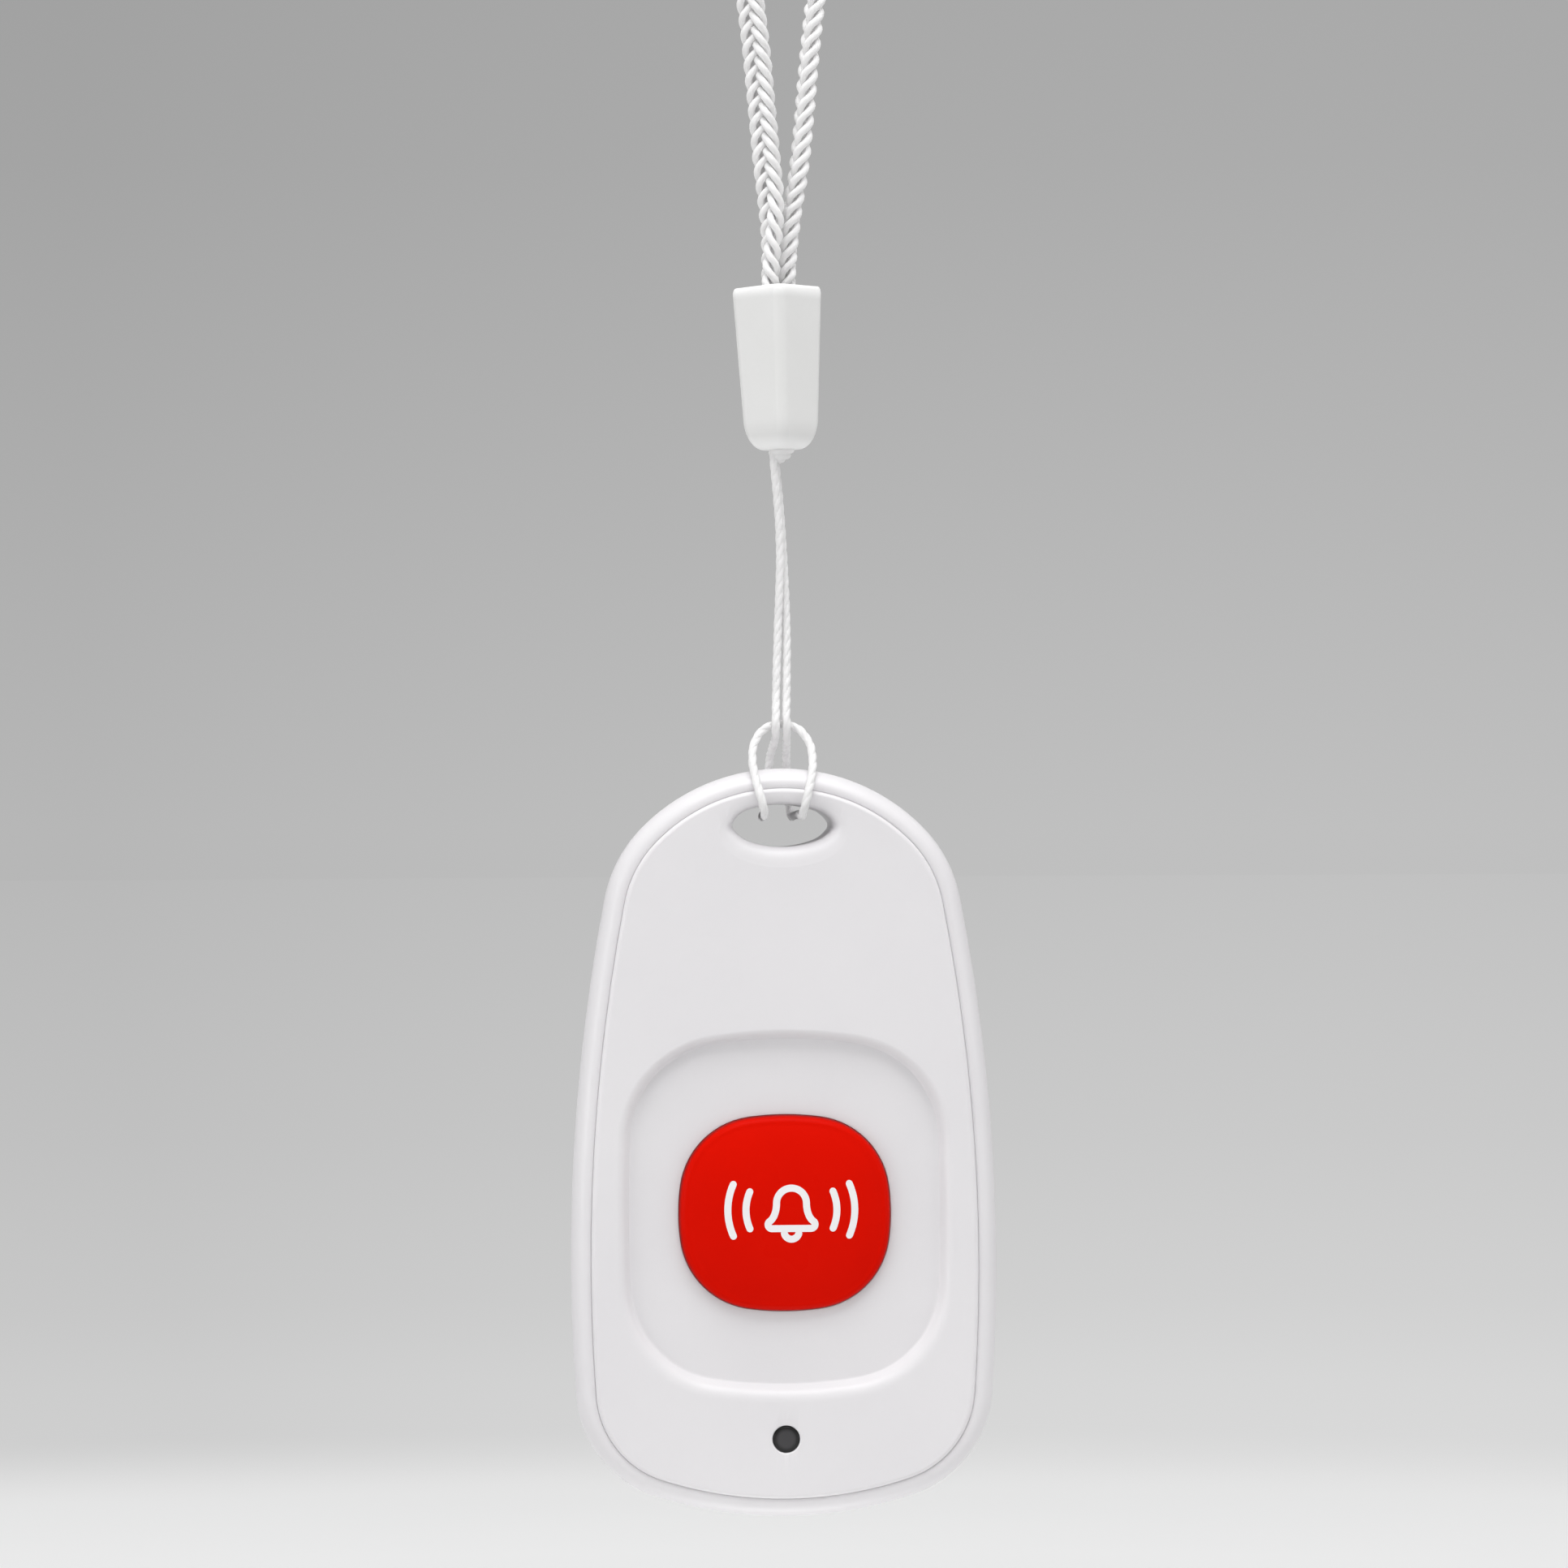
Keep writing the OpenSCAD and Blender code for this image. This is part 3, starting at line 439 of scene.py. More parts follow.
def smoothed(piece, degrees=35):
    """Smooth shading that keeps flats flat and edges over an angle sharp."""
    active(piece)
    bpy.ops.object.shade_smooth_by_angle(angle=radians(degrees))
    modifier = piece.modifiers.new("weigh", "WEIGHTED_NORMAL")
    modifier.keep_sharp = True
    bpy.ops.object.modifier_apply(modifier=modifier.name)
    open_edges = sum(1 for e in edge_faces(piece) if e != 2)
    print(piece.name + ":", len(piece.data.polygons), "faces,", open_edges, "open edges")


def edge_faces(piece):
    """How many faces meet at each edge of a mesh."""
    count = {e.key: 0 for e in piece.data.edges}
    for face in piece.data.polygons:
        for key in face.edge_keys:
            count[key] += 1
    return count.values()


def disc(radius, z, middle, points=96):
    """Ring of points of a circle."""
    return [
        (middle[0] + radius * cos(2 * pi * k / points),
         middle[1] + radius * sin(2 * pi * k / points), z)
        for k in range(points)
    ]


def drum(radius, low, high, middle, points=96):
    return skin("drum", [disc(radius, low, middle, points), disc(radius, high, middle, points)])


def sector(inner, outer, low, high, middle, angle, spread):
    """Block that is bent round a middle."""
    steps, rings = 12, []
    for k in range(steps + 1):
        d = direction(angle - spread / 2 + spread * k / steps)
        rings.append([
            (middle[0] + r * d.x, middle[1] + r * d.y, z)
            for r, z in ((inner, low), (outer, low), (outer, high), (inner, high))
        ])
    return skin("sector", rings)


print("a skin is a circle that is extruded from ring to ring")

# %% [markdown]
# ## Levels and the eye
#
# The levels through the case repeat the sizes of the CAD source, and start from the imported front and
# back faces. The eye's cutter flares at both mouths and crosses the faces at a slight slant, because a
# cutter that only touches a face leaves slivers. Its rings drop as they widen, so the lip is broad
# below the eye, where it catches the light, and narrow above. Where a gap of the CAD model would draw
# a hard black line, the skins come closer to each other, as moulded edges do. Whatever is added to a
# shell has a root that reaches into its wall, so that no thin gap is left between them.

# %% Levels and the eye
face_z = -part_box("front_cover")[0].y / MM
back_z = -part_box("rear_shell")[1].y / MM
seam_z = face_z - 0.9
cover_edge = (0.36, 0.3)
rim_top = face_z - cover_edge[1]
stand_z = face_z - 2.4
skirt_z = stand_z - 1.8
ceiling_z = face_z - 1.6
floor_z = back_z + 1.6
rim_w = 1.6
shell_wall = 2.2
seam_gap = 0.12
seen_gap = 0.004
seat_gap = 0.03
root = 0.4
eye_lip = [
    (0, 1), (0.06, 0.76), (0.13, 0.57), (0.22, 0.4), (0.32, 0.27), (0.43, 0.17), (0.56, 0.1), (0.71, 0.055),
    (0.87, 0.025), (1.03, 0.004),
]
eye_drop = 0.62
eye_wall = 1.3
eye_h = 3.42
eye_arcs = arc_chain(8.2, eye_h, eye_h * 0.64, eye_h * 0.76, (72, 30, 36, 70))


def case_ring(s):
    return level_ring(outline(case_arcs, case_top, s[0]), s[1])


def eye_ring(s, drop=0.0):
    """Outline of the eye at an (inset, level) pair, lowered by a drop."""
    return [(x, y - drop, z) for x, y, z in level_ring(outline(eye_arcs, eye_h / 2, s[0]), s[1])]


def eye_cutter():
    """Cutter of the eye with its two flared lips."""
    front = [(-width, face_z - depth) for width, depth in eye_lip]
    widest = -eye_lip[-1][0] - 0.1
    front += [(widest, face_z + 0.02), (widest, face_z + 1)]
    rear = [(inset, back_z + face_z - level) for inset, level in front]
    return skin("eye_cutter", [eye_ring(s, -eye_drop * s[0]) for s in rear[::-1] + front])


def eye_tube(low, high):
    return skin("eye_tube", [eye_ring((-eye_wall, low)), eye_ring((-eye_wall, high))])


print("case from", round(back_z, 2), "to", round(face_z, 2), "mm through")

# %% [markdown]
# ## Rear shell
#
# The tub of the case: a rounded back, sides with a little draft, and the rounded rim that frames the
# front cover and stands almost level with its face. The rim's inner edge is broken by a fine rounding,
# which is what draws the light line beside the seam. The eye's tube, the collar and the guides of the
# battery are added, and then the eye, the door's seat and its notches are cut.

# %% Rear shell
cell_at = ((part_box("battery_door")[0].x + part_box("battery_door")[1].x) / 2 / MM,
           (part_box("battery_door")[0].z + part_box("battery_door")[1].z) / 2 / MM)
door_z = back_z + 1.33
ledge_z = door_z + seat_gap
ledge_top = ledge_z + 0.8
board_back = -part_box("circuit_board")[1].y / MM
board_front = -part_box("circuit_board")[0].y / MM
back_round = (3.2, 3.5)
draft = 0.4
floor_round = 1.8
collar_r = 14.0
guide_r = (12.36, 13.8)
guide_spread = 28
seat_r = 13.44
cup_hole_r = 11.22
notch_r = (10.2, 12.12)
notch_spread = 30
rim_edge = (0.3, 0.12)
support = 0.04
bead_z = stand_z - 0.9
groove = 0.23

rear_profile = [(back_round[0] + support, back_z)]
rear_profile += rounding((draft, back_z + back_round[1]), (back_round[0], back_z), 14)[::-1]
rear_profile += rounding((0, seam_z - rim_w), (rim_w - rim_edge[0], rim_top), 12)
rear_profile += rounding((rim_w, rim_top - rim_edge[1]), (rim_w - rim_edge[0], rim_top), 6)[::-1]
rear_profile += [
    (rim_w, stand_z), (shell_wall, stand_z), (shell_wall, bead_z + 2 * groove), (shell_wall - groove, bead_z),
    (shell_wall, bead_z - 2 * groove),
]
rear_profile += rounding((shell_wall, floor_z + floor_round), (shell_wall + floor_round, floor_z), 5)
rear = skin("rear_skin", [case_ring(s) for s in rear_profile])
combined(rear, eye_tube(floor_z - 2 * root, skirt_z - seat_gap), "UNION")
combined(rear, drum(collar_r, floor_z - root, ledge_top, cell_at), "UNION")
for quarter in range(4):
    at = 90 * (quarter + 0.5)
    guide = sector(*guide_r, ledge_top - root, board_back - seat_gap, cell_at, at, guide_spread)
    combined(rear, guide, "UNION")
combined(rear, eye_cutter(), "DIFFERENCE")
combined(rear, drum(seat_r, back_z - 1, ledge_z, cell_at), "DIFFERENCE")
combined(rear, drum(cup_hole_r, back_z, ledge_top + 1, cell_at), "DIFFERENCE")
for third in range(3):
    notch = sector(*notch_r, back_z, ledge_top + seat_gap, cell_at, 120 * third - 40, notch_spread)
    combined(rear, notch, "DIFFERENCE")
smoothed(rear)
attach(rear, "case")
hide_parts("rear_shell")

# %% [markdown]
# ## Front cover
#
# The cover is made of two open tubes of rings. The outer one follows the case: up its skirt and over
# its rounded edge. The inner one follows the pocket and the button's hole: down the wall, which has a
# round roll, a straight slope and a small foot, over the floor and back underneath. The wall's outlines
# rise a little on their way down, so it is steep at the top of the pocket and wide at the bottom, where
# it shows as a bright band. The flats between the tubes are filled like a hand-drawn face. One loop of
# rings would be shorter, but the case and the pocket have their points at other spots, and the faces
# between would fold. Beside each flat an extra ring lies close to the rounding, so that its shading
# doesn't creep on to the flat.

# %% Front cover
button_at = (0, (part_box("button_cap")[0].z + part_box("button_cap")[1].z) / 2 / MM)
pocket_h = 28.85
pocket_arcs = arc_chain(26.1, pocket_h, 8.4, 8.4, (81, 2, 2, 81))
pocket_depth = 1.1
pocket_roll = 0.9
pocket_steep = radians(64)
wall_foot = 0.15
wall_bends = pocket_roll + wall_foot
slope = wall_bends * sin(pocket_steep)
slope += (pocket_depth - wall_bends * (1 - cos(pocket_steep))) / math.tan(pocket_steep)
button_h = 15.8
button_arcs = arc_chain(17.1, button_h, 6.4, 6.4, (82, 8, 8, 82))
pocket_z = face_z - pocket_depth
pocket_under = pocket_z - 1.3
hole_gap = 0.02
hole_round = 0.03
pocket_lean = 0.3
cover_in = rim_w + seen_gap
skirt_in = shell_wall + seam_gap
bead_h = 0.35
lens_at = (0, (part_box("indicator_lens")[0].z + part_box("indicator_lens")[1].z) / 2 / MM)
lens_r = 1.05
lens_play = 0.05
lens_round = 0.15
lens_mouth = lens_r + 0.2
lens_flare = lens_r + 0.24
boss_at = (7.2, -10.5)
boss_r = 1.9
bore_r = 0.85
bore_top = ceiling_z - 0.4
peg_at = (9.2, case_foot + 8.9)
peg_r = 1.5
pin_r = 0.75
pin_reach = 0.25
post_points = 48


def pocket_ring(s, lean=0.0):
    """Outline of the pocket at an (inset, level) pair, raised by a share of its inset."""
    return level_ring(outline(pocket_arcs, button_at[1] + pocket_h / 2 + lean * s[0], s[0]), s[1])


def button_ring(s):
    return level_ring(outline(button_arcs, button_at[1] + button_h / 2, s[0]), s[1])


def pocket_wall():
    """(inset, level) pairs down the pocket's wall, which is straight between its roll and its foot."""
    roll = [(sin(t), 1 - cos(t)) for t in (pocket_steep * k / 14 for k in range(15))]
    foot = [(sin(t), 1 - cos(t)) for t in (pocket_steep * k / 4 for k in range(4, -1, -1))]
    pairs = [(pocket_roll * s - slope / 2, face_z - pocket_roll * v) for s, v in roll]
    return pairs + [(slope / 2 - wall_foot * s, pocket_z + wall_foot * v) for s, v in foot]


skirt = [
    (skirt_in + 1, ceiling_z), (skirt_in + 1, skirt_z), (skirt_in, skirt_z), (skirt_in, bead_z - bead_h),
    (skirt_in - bead_h, bead_z), (skirt_in, bead_z + bead_h), (skirt_in, stand_z + seat_gap),
    (cover_in, stand_z + seat_gap),
]
edge = rounding((cover_in, rim_top - rim_edge[1]), (cover_in + cover_edge[0], face_z), 10)
outer = skirt + edge + [(cover_in + cover_edge[0] + support, face_z)]
hole = rounding((-hole_gap, pocket_z - hole_round), (-hole_gap - hole_round, pocket_z), 4)[::-1]
seen_wall = [(-slope / 2 - support, face_z)] + pocket_wall() + [(slope / 2 + support, pocket_z)]
inner_rings = [pocket_ring(s, pocket_lean) for s in seen_wall]
inner_rings += [button_ring((-hole_gap - hole_round - support, pocket_z))] + [button_ring(s) for s in hole]
inner_rings += [button_ring((-hole_gap, pocket_under)), pocket_ring((slope / 2, pocket_under))]
inner_rings += [pocket_ring((0.1, ceiling_z))]
cover = joined("cover_skin", [
    skin("cover_outer", [case_ring(s) for s in outer], "open"), skin("cover_inner", inner_rings, "open"),
])
filled(cover, face_z)
filled(cover, ceiling_z)
combined(cover, eye_tube(skirt_z + seat_gap, face_z - 2 * root), "UNION")
for side in (-1, 1):
    boss = (side * boss_at[0], boss_at[1])
    peg = (side * peg_at[0], peg_at[1])
    for radius, low, high, at, operation in (
        (boss_r, board_front + seat_gap, ceiling_z + root, boss, "UNION"),
        (peg_r, board_front + seat_gap, ceiling_z + root, peg, "UNION"),
        (pin_r, board_back - pin_reach, ceiling_z + root / 2, peg, "UNION"),
        (bore_r, board_front - 1, bore_top, boss, "DIFFERENCE"),
    ):
        combined(cover, drum(radius, low, high, at, post_points), operation)
combined(cover, eye_cutter(), "DIFFERENCE")
lens_hole = [(lens_r + lens_play, ceiling_z - 1)]
lens_hole += rounding((lens_r + lens_play, face_z - lens_round), (lens_mouth, face_z), 4, 0.9)
lens_hole += [(lens_flare, face_z + 0.02), (lens_flare, face_z + 1)]
combined(cover, skin("lens_hole", [disc(r, z, lens_at) for r, z in lens_hole]), "DIFFERENCE")
smoothed(cover)
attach(cover, "case")
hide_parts("front_cover")

# %% [markdown]
# ## Button
#
# The red cap is crowned: its rings rise slowly towards the middle, after a tight rounding at the edge.
# The last outline is shrunk to the middle in a few more rings, because a flat top would show as a patch
# in the reflections. Underneath the cap is hollow, with the flange that keeps it in and the post that
# meets the switch.

# %% Button
button_wall = 1.3
button_edge = 0.7
button_dome = 1.2
crown_power = 3
crown_reach = button_h / 2
crown_last = 6.1
flange = (0.8, 0.7)
hollow_depth = 2.4
post_r = 1.5
post_root = 1.8
button_top = -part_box("button_cap")[0].y / MM + button_dome * (1 - crown_last / crown_reach) ** crown_power
flange_z = pocket_under - seat_gap - flange[1]


def crown_level(inset):
    """Level of the crown at an inset from the button's outline."""
    return button_top - button_dome * (1 - min(inset, crown_reach) / crown_reach) ** crown_power


def middle_ring(scale):
    """Last outline of the crown, shrunk towards the middle."""
    ring = button_ring((crown_last, crown_level(crown_reach - (crown_reach - crown_last) * scale)))
    return [(x * scale, button_at[1] + (y - button_at[1]) * scale, z) for x, y, z in ring]


cap_profile = [(button_wall, button_top - hollow_depth), (button_wall, flange_z), (-flange[0], flange_z)]
cap_profile += [(-flange[0], flange_z + flange[1]), (0, flange_z + flange[1])]
cap_profile += rounding((0, crown_level(0) - button_edge), (button_edge, crown_level(button_edge)), 10)
cap_profile += [(k * 0.3, crown_level(k * 0.3)) for k in range(3, 20)]
cap_rings = [button_ring(s) for s in cap_profile]
cap_rings += [middle_ring(scale) for scale in (1, 0.75, 0.5, 0.25, 0.05)]
cap = skin("button_skin", cap_rings)
post_foot = -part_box("switch_plunger")[0].y / MM + seat_gap
combined(cap, drum(post_r, post_foot, button_top - post_root, button_at), "UNION")
smoothed(cap)
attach(cap, "button")
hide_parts("button_cap")

# %% [markdown]
# ## Sign
#
# The sign on the button is a plain ringing bell of even strokes, printed in white: a bell, its clapper
# and two arcs of sound on each side. An image could carry it, but drawn strokes stay sharp at any
# distance. Each stroke is a line made of arcs, and a thin bar of ink with round ends is swept along it
# that follows the crown.

# %% Sign
stroke_w = 0.56
ink_proud = 0.03
ink_depth = 0.1
sign_at = Vector((0.45, button_at[1] + 0.35))
bell_r = 1.2
bell_rise = 0.55
flare = (0.85, 1.55)
flare_bend = 70
lip_corner = 0.32
clapper_drop = -1.72
clapper = (0.6, 0.62)
sound_radii = (3.65, 5.1)
sound_spread = 24
crown_line = [Vector(p) for p in outline(button_arcs, button_at[1] + button_h / 2, 0)]


def ink_level(p):
    """Level of the crown at a point of the button."""
    return crown_level(min((p - q).length for q in crown_line))


def bowl(middle, half_w, half_h, first, last, steps):
    """Points along an elliptic arc of the sign."""
    angles = [radians(first + (last - first) * k / steps) for k in range(steps + 1)]
    return [
        sign_at + Vector((middle[0] + half_w * cos(t), middle[1] + half_h * sin(t))) for t in angles
    ]


def inked(line, closed=False):
    """Bar of ink along a line on the button; an open line gets round ends."""
    n, stations = len(line), []
    for i, p in enumerate(line):
        before = line[i - 1] if closed or i else p
        after = line[(i + 1) % n] if closed or i < n - 1 else p
        stations.append((p, (after - before).normalized(), stroke_w / 2))
    if not closed:
        first, last = stations[0], stations[-1]
        ends = [(stroke_w / 2 * sin(t), stroke_w / 2 * cos(t)) for t in (0.5, 1.0, 1.45)]
        stations = [(first[0] - first[1] * out, first[1], half) for out, half in ends[::-1]] + stations
        stations += [(last[0] + last[1] * out, last[1], half) for out, half in ends]
    rings = []
    for p, along, half in stations:
        side = Vector((-along.y, along.x)) * half
        edges = [p + side, p - side]
        ring = [(q.x, q.y, ink_level(q) + ink_proud) for q in edges]
        rings.append(ring + [(q.x, q.y, ink_level(q) - ink_depth) for q in edges[::-1]])
    return skin("stroke", rings, "joined" if closed else "capped")


def bell_line():
    """Closed line round the bell: up the left flare, over the dome, down the right flare, and the lip."""
    right_flare = bowl((bell_r + flare[0], bell_rise), *flare, 180, 180 + flare_bend, 14)
    heading = (right_flare[-1] - right_flare[-2]).normalized()
    lip_turn = math.degrees(math.atan2(heading.y, heading.x))
    corner = right_flare[-1] - sign_at + lip_corner * Vector((heading.y, -heading.x))
    half = bowl((0, bell_rise), bell_r, bell_r, 90, 0, 16) + right_flare[1:]
    half += bowl(corner, lip_corner, lip_corner, lip_turn + 90, -90, 12)[1:]
    half += [sign_at + Vector((x * corner.x, corner.y - lip_corner)) for x in (0.6, 0.2)]
    mirrored = [Vector((2 * sign_at.x - p.x, p.y)) for p in half[:0:-1]]
    return half + mirrored


strokes = [inked(bell_line(), closed=True), inked(bowl((0, clapper_drop), *clapper, 195, 345, 14))]
for radius in sound_radii:
    for middle in (180, 0):
        arc = bowl((0, 0), radius, radius, middle - sound_spread, middle + sound_spread, 20)
        strokes.append(inked(arc))
ink = joined("button_sign", strokes)
smoothed(ink)
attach(ink, "button")

# %% [markdown]
# ## Indicator lens
#
# A short light pipe of smoked plastic, flush with the face and slightly domed. It is turned like the
# skins of the case, ring by ring: a shaft, the flange behind the cover, a small rounding and the dome.

# %% Indicator lens
lens_front = -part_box("indicator_lens")[0].y / MM
lens_back = -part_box("indicator_lens")[1].y / MM
lens_dome = 0.03
lens_flange = lens_r + 0.6
flange_back = ceiling_z - 0.9
lens_profile = [
    (lens_r, lens_back), (lens_r, flange_back), (lens_flange, flange_back),
    (lens_flange, ceiling_z - seat_gap), (lens_r, ceiling_z - seat_gap),
]
lens_edge = rounding((0, lens_front - lens_round), (lens_round, lens_front - lens_dome), 5)
lens_profile += [(lens_r - inset, level) for inset, level in lens_edge]
lens_profile += [(lens_r * k, lens_front - lens_dome * k * k) for k in (0.7, 0.5, 0.3, 0.1)]
lens = skin("lens_skin", [disc(r, z, lens_at, 64) for r, z in lens_profile])
smoothed(lens)
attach(lens, "case")
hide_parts("indicator_lens")

# %% [markdown]
# ## Snap dome
#
# The thin steel dome of the switch lies under the plunger and gives the click. It is a cap of a ball,
# drawn ring by ring down its hollow side and up its outer side. The real dome flips flat when it is
# pressed. A joint can't bend a solid, and the mesh is not squashed here; the piece only gets a copy
# of its own mesh.

# %% Snap dome
dome_low, dome_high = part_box("switch_dome")
dome_foot = -dome_high.y / MM
dome_h = (dome_high.y - dome_low.y) / MM
dome_r = (dome_high.x - dome_low.x) / 2 / MM
dome_t = 0.12
ball_r = (dome_r ** 2 + dome_h ** 2) / (2 * dome_h)
hollow_r = math.sqrt(ball_r ** 2 - (ball_r - dome_h + dome_t) ** 2)
dome_shares = (1, 0.85, 0.7, 0.55, 0.4, 0.25, 0.1)


def dome_level(radius):
    return dome_foot + dome_h - ball_r + math.sqrt(ball_r ** 2 - radius ** 2)


dome_rings = [
    disc(hollow_r * k, dome_level(hollow_r * k) - dome_t, button_at, 48) for k in dome_shares[::-1]
]
dome_rings += [disc(dome_r * k, dome_level(dome_r * k), button_at, 48) for k in dome_shares]
dome = skin("dome_skin", dome_rings)
smoothed(dome)
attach(dome, "case")
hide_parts("switch_dome")
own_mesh(dome)
print("dome", round(2 * dome_r, 2), "mm wide and", round(dome_h, 2), "mm high")

# %% [markdown]
# ## Ferrule and knot
#
# The ferrule is a soft tapered sleeve of rounded square section, set on edge, which hides the knot
# between string and cord. Only the last turns of the knot show below its foot.

# %% Ferrule and knot
ferrule_at = (0.25, 0, 30.6)
ferrule_lean = radians(1.5)
ferrule_h = 13.2
ferrule_sides = (4.6, 5.6)
ferrule_corner = 0.8
ferrule_wall = 0.6
ferrule_base = 3
ferrule_foot = (2.1, 2.4)
ferrule_lip = (0.4, 0.6)
foot_hole_r = 1.02


def leaning(p):
    """A place along the leaning ferrule, in the upright frame, in metres."""
    x = p[0] * cos(ferrule_lean) - p[2] * sin(ferrule_lean)
    z = p[0] * sin(ferrule_lean) + p[2] * cos(ferrule_lean)
    return Vector((ferrule_at[0] + x, ferrule_at[1] + p[1], ferrule_at[2] + z)) * MM


def square_ring(side, z):
    """Ring of a rounded square set on edge."""
    ring, corner_steps = [], 10
    for corner in range(4):
        middle = (side / 2 - ferrule_corner) * math.sqrt(2) * direction(90 * corner)
        for k in range(corner_steps + 1):
            p = middle + ferrule_corner * direction(90 * corner - 45 + 90 * k / corner_steps)
            ring.append((p.x, p.y, z))
    return ring


def ferrule_side(z):
    return ferrule_sides[0] + (ferrule_sides[1] - ferrule_sides[0]) * z / ferrule_h


ferrule_profile = rounding((0, ferrule_foot[1]), (ferrule_foot[0], 0), 14)[::-1]
ferrule_profile += rounding((0, ferrule_h - ferrule_lip[1]), (ferrule_lip[0], ferrule_h), 10)
ferrule_profile += [(2 * ferrule_wall - 0.1, ferrule_h), (2 * ferrule_wall, ferrule_h - 0.1)]
ferrule_profile += [(2 * ferrule_wall, ferrule_base)]
ferrule_rings = [square_ring(ferrule_side(z) - s, z) for s, z in ferrule_profile]
ferrule = skin("ferrule_skin", ferrule_rings, place=leaning)
hole_rings = [disc(foot_hole_r, z, (0, 0), 48) for z in (-1, ferrule_base + 1)]
foot_hole = skin("foot_hole", hole_rings, place=leaning)
combined(ferrule, foot_hole, "DIFFERENCE")
smoothed(ferrule)
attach(ferrule, "case")
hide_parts("cord_ferrule")

knot_turns = 9
knot_steps = 360
knot_yarn_d = 0.66
knot_low = -0.85
knot_rise = 6.9
knot_neck = 0.38
knot_thin = 0.16
knot_swell = 0.6
string_side = -0.45
knot_line = []
for k in range(knot_steps + 1):
    share = k / knot_steps
    angle = 2 * pi * knot_turns * share - pi / 3
    grown = eased(share, 0, knot_neck)
    radius = knot_thin + knot_swell * grown
    x = string_side * (1 - grown) + radius * cos(angle)
    knot_line.append(leaning((x, radius * sin(angle), knot_low + knot_rise * share ** 2)))
knot = made_one("knot_turns", [yarn("knot", knot_line, knot_yarn_d * MM, 3)])
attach(knot, "case")
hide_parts("string_knot")
print("ferrule", ferrule_h, "mm long, knot of", knot_turns, "turns")

# %% [markdown]
# ## Effects that finishes share
#
# Moulded plastic, yarn and metal each have a fine surface that more than one finish uses: the grain of
# a spark-eroded mould, hair-fine filaments, and the lines that rolling leaves along a sheet. Each effect
# is a node group of two noises with named outputs: the fine one is a height for the bump, the slow one a
# change of tone. They read Object coordinates, in metres, so a scale of 8000 draws grains of about an
# eighth of a millimetre.

# %% Effects that finishes share
def add(tree, kind, inputs=None, **settings):
    """A new node, with its settings, and with its inputs set or linked."""
    made = tree.nodes.new(kind)
    for key, value in settings.items():
        setattr(made, key, value)
    for key, value in (inputs or {}).items():
        if isinstance(value, bpy.types.NodeSocket):
            tree.links.new(value, made.inputs[key])
        else:
            made.inputs[key].default_value = value
    return made


def mixed(tree, share, first, second):
    """Colour between two colours."""
    return add(tree, "ShaderNodeMix", {0: share, 6: first, 7: second}, data_type="RGBA").outputs[2]


def ranged(tree, value, low, high, new_low=0.0, new_high=1.0, smooth=False):
    """Number moved from one range to another."""
    kind = "SMOOTHSTEP" if smooth else "LINEAR"
    inputs = {"Value": value, "From Min": low, "From Max": high, "To Min": new_low, "To Max": new_high}
    return add(tree, "ShaderNodeMapRange", inputs, interpolation_type=kind).outputs["Result"]


def counted(tree, operation, first, second=0.0):
    return add(tree, "ShaderNodeMath", {0: first, 1: second}, operation=operation).outputs[0]


def vectored(tree, operation, output, inputs):
    return add(tree, "ShaderNodeVectorMath", inputs, operation=operation).outputs[output]


def own_place(tree):
    """Place on a piece in its Object coordinates, in metres."""
    return add(tree, "ShaderNodeTexCoord").outputs["Object"]


def own_axes(tree):
    return add(tree, "ShaderNodeSeparateXYZ", {0: own_place(tree)}).outputs


def noise(tree, place, scale, detail):
    return add(tree, "ShaderNodeTexNoise", {"Vector": place, "Scale": scale, "Detail": detail}).outputs[0]


def new_effect(name, fine, slow, details, span, smooth=False, drawn=1.0):
    """Node group of a fine noise, which may be drawn out along Z, and a slow one."""
    tree = bpy.data.node_groups.new(name, "ShaderNodeTree")
    for label, scale in (("Fine", fine), ("Slow", slow)):
        tree.interface.new_socket(label, in_out="INPUT", socket_type="NodeSocketFloat").default_value = scale
    for label in ("Height", "Tone"):
        tree.interface.new_socket(label, in_out="OUTPUT", socket_type="NodeSocketFloat")
    given = tree.nodes.new("NodeGroupInput").outputs
    result = tree.nodes.new("NodeGroupOutput").inputs
    place = own_place(tree)
    lines = add(tree, "ShaderNodeMapping", {"Vector": place, "Scale": (1.0, 1.0, drawn)}).outputs[0]
    tree.links.new(noise(tree, lines, given["Fine"], details[0]), result["Height"])
    patches = noise(tree, place, given["Slow"], details[1])
    tree.links.new(ranged(tree, patches, *span, smooth=smooth), result["Tone"])
    return tree


EFFECTS = {effect.name: effect for effect in (
    new_effect("moulded_grain", 8000, 90, (2.0, 4.0), (0.2, 0.8), smooth=True),
    new_effect("spun_fibre", 16000, 900, (3.0, 2.0), (0.3, 0.7)),
    new_effect("rolled_metal", 4000, 350, (2.0, 3.0), (0.3, 0.7), drawn=0.06),
)}
print("effects:", ", ".join(EFFECTS))
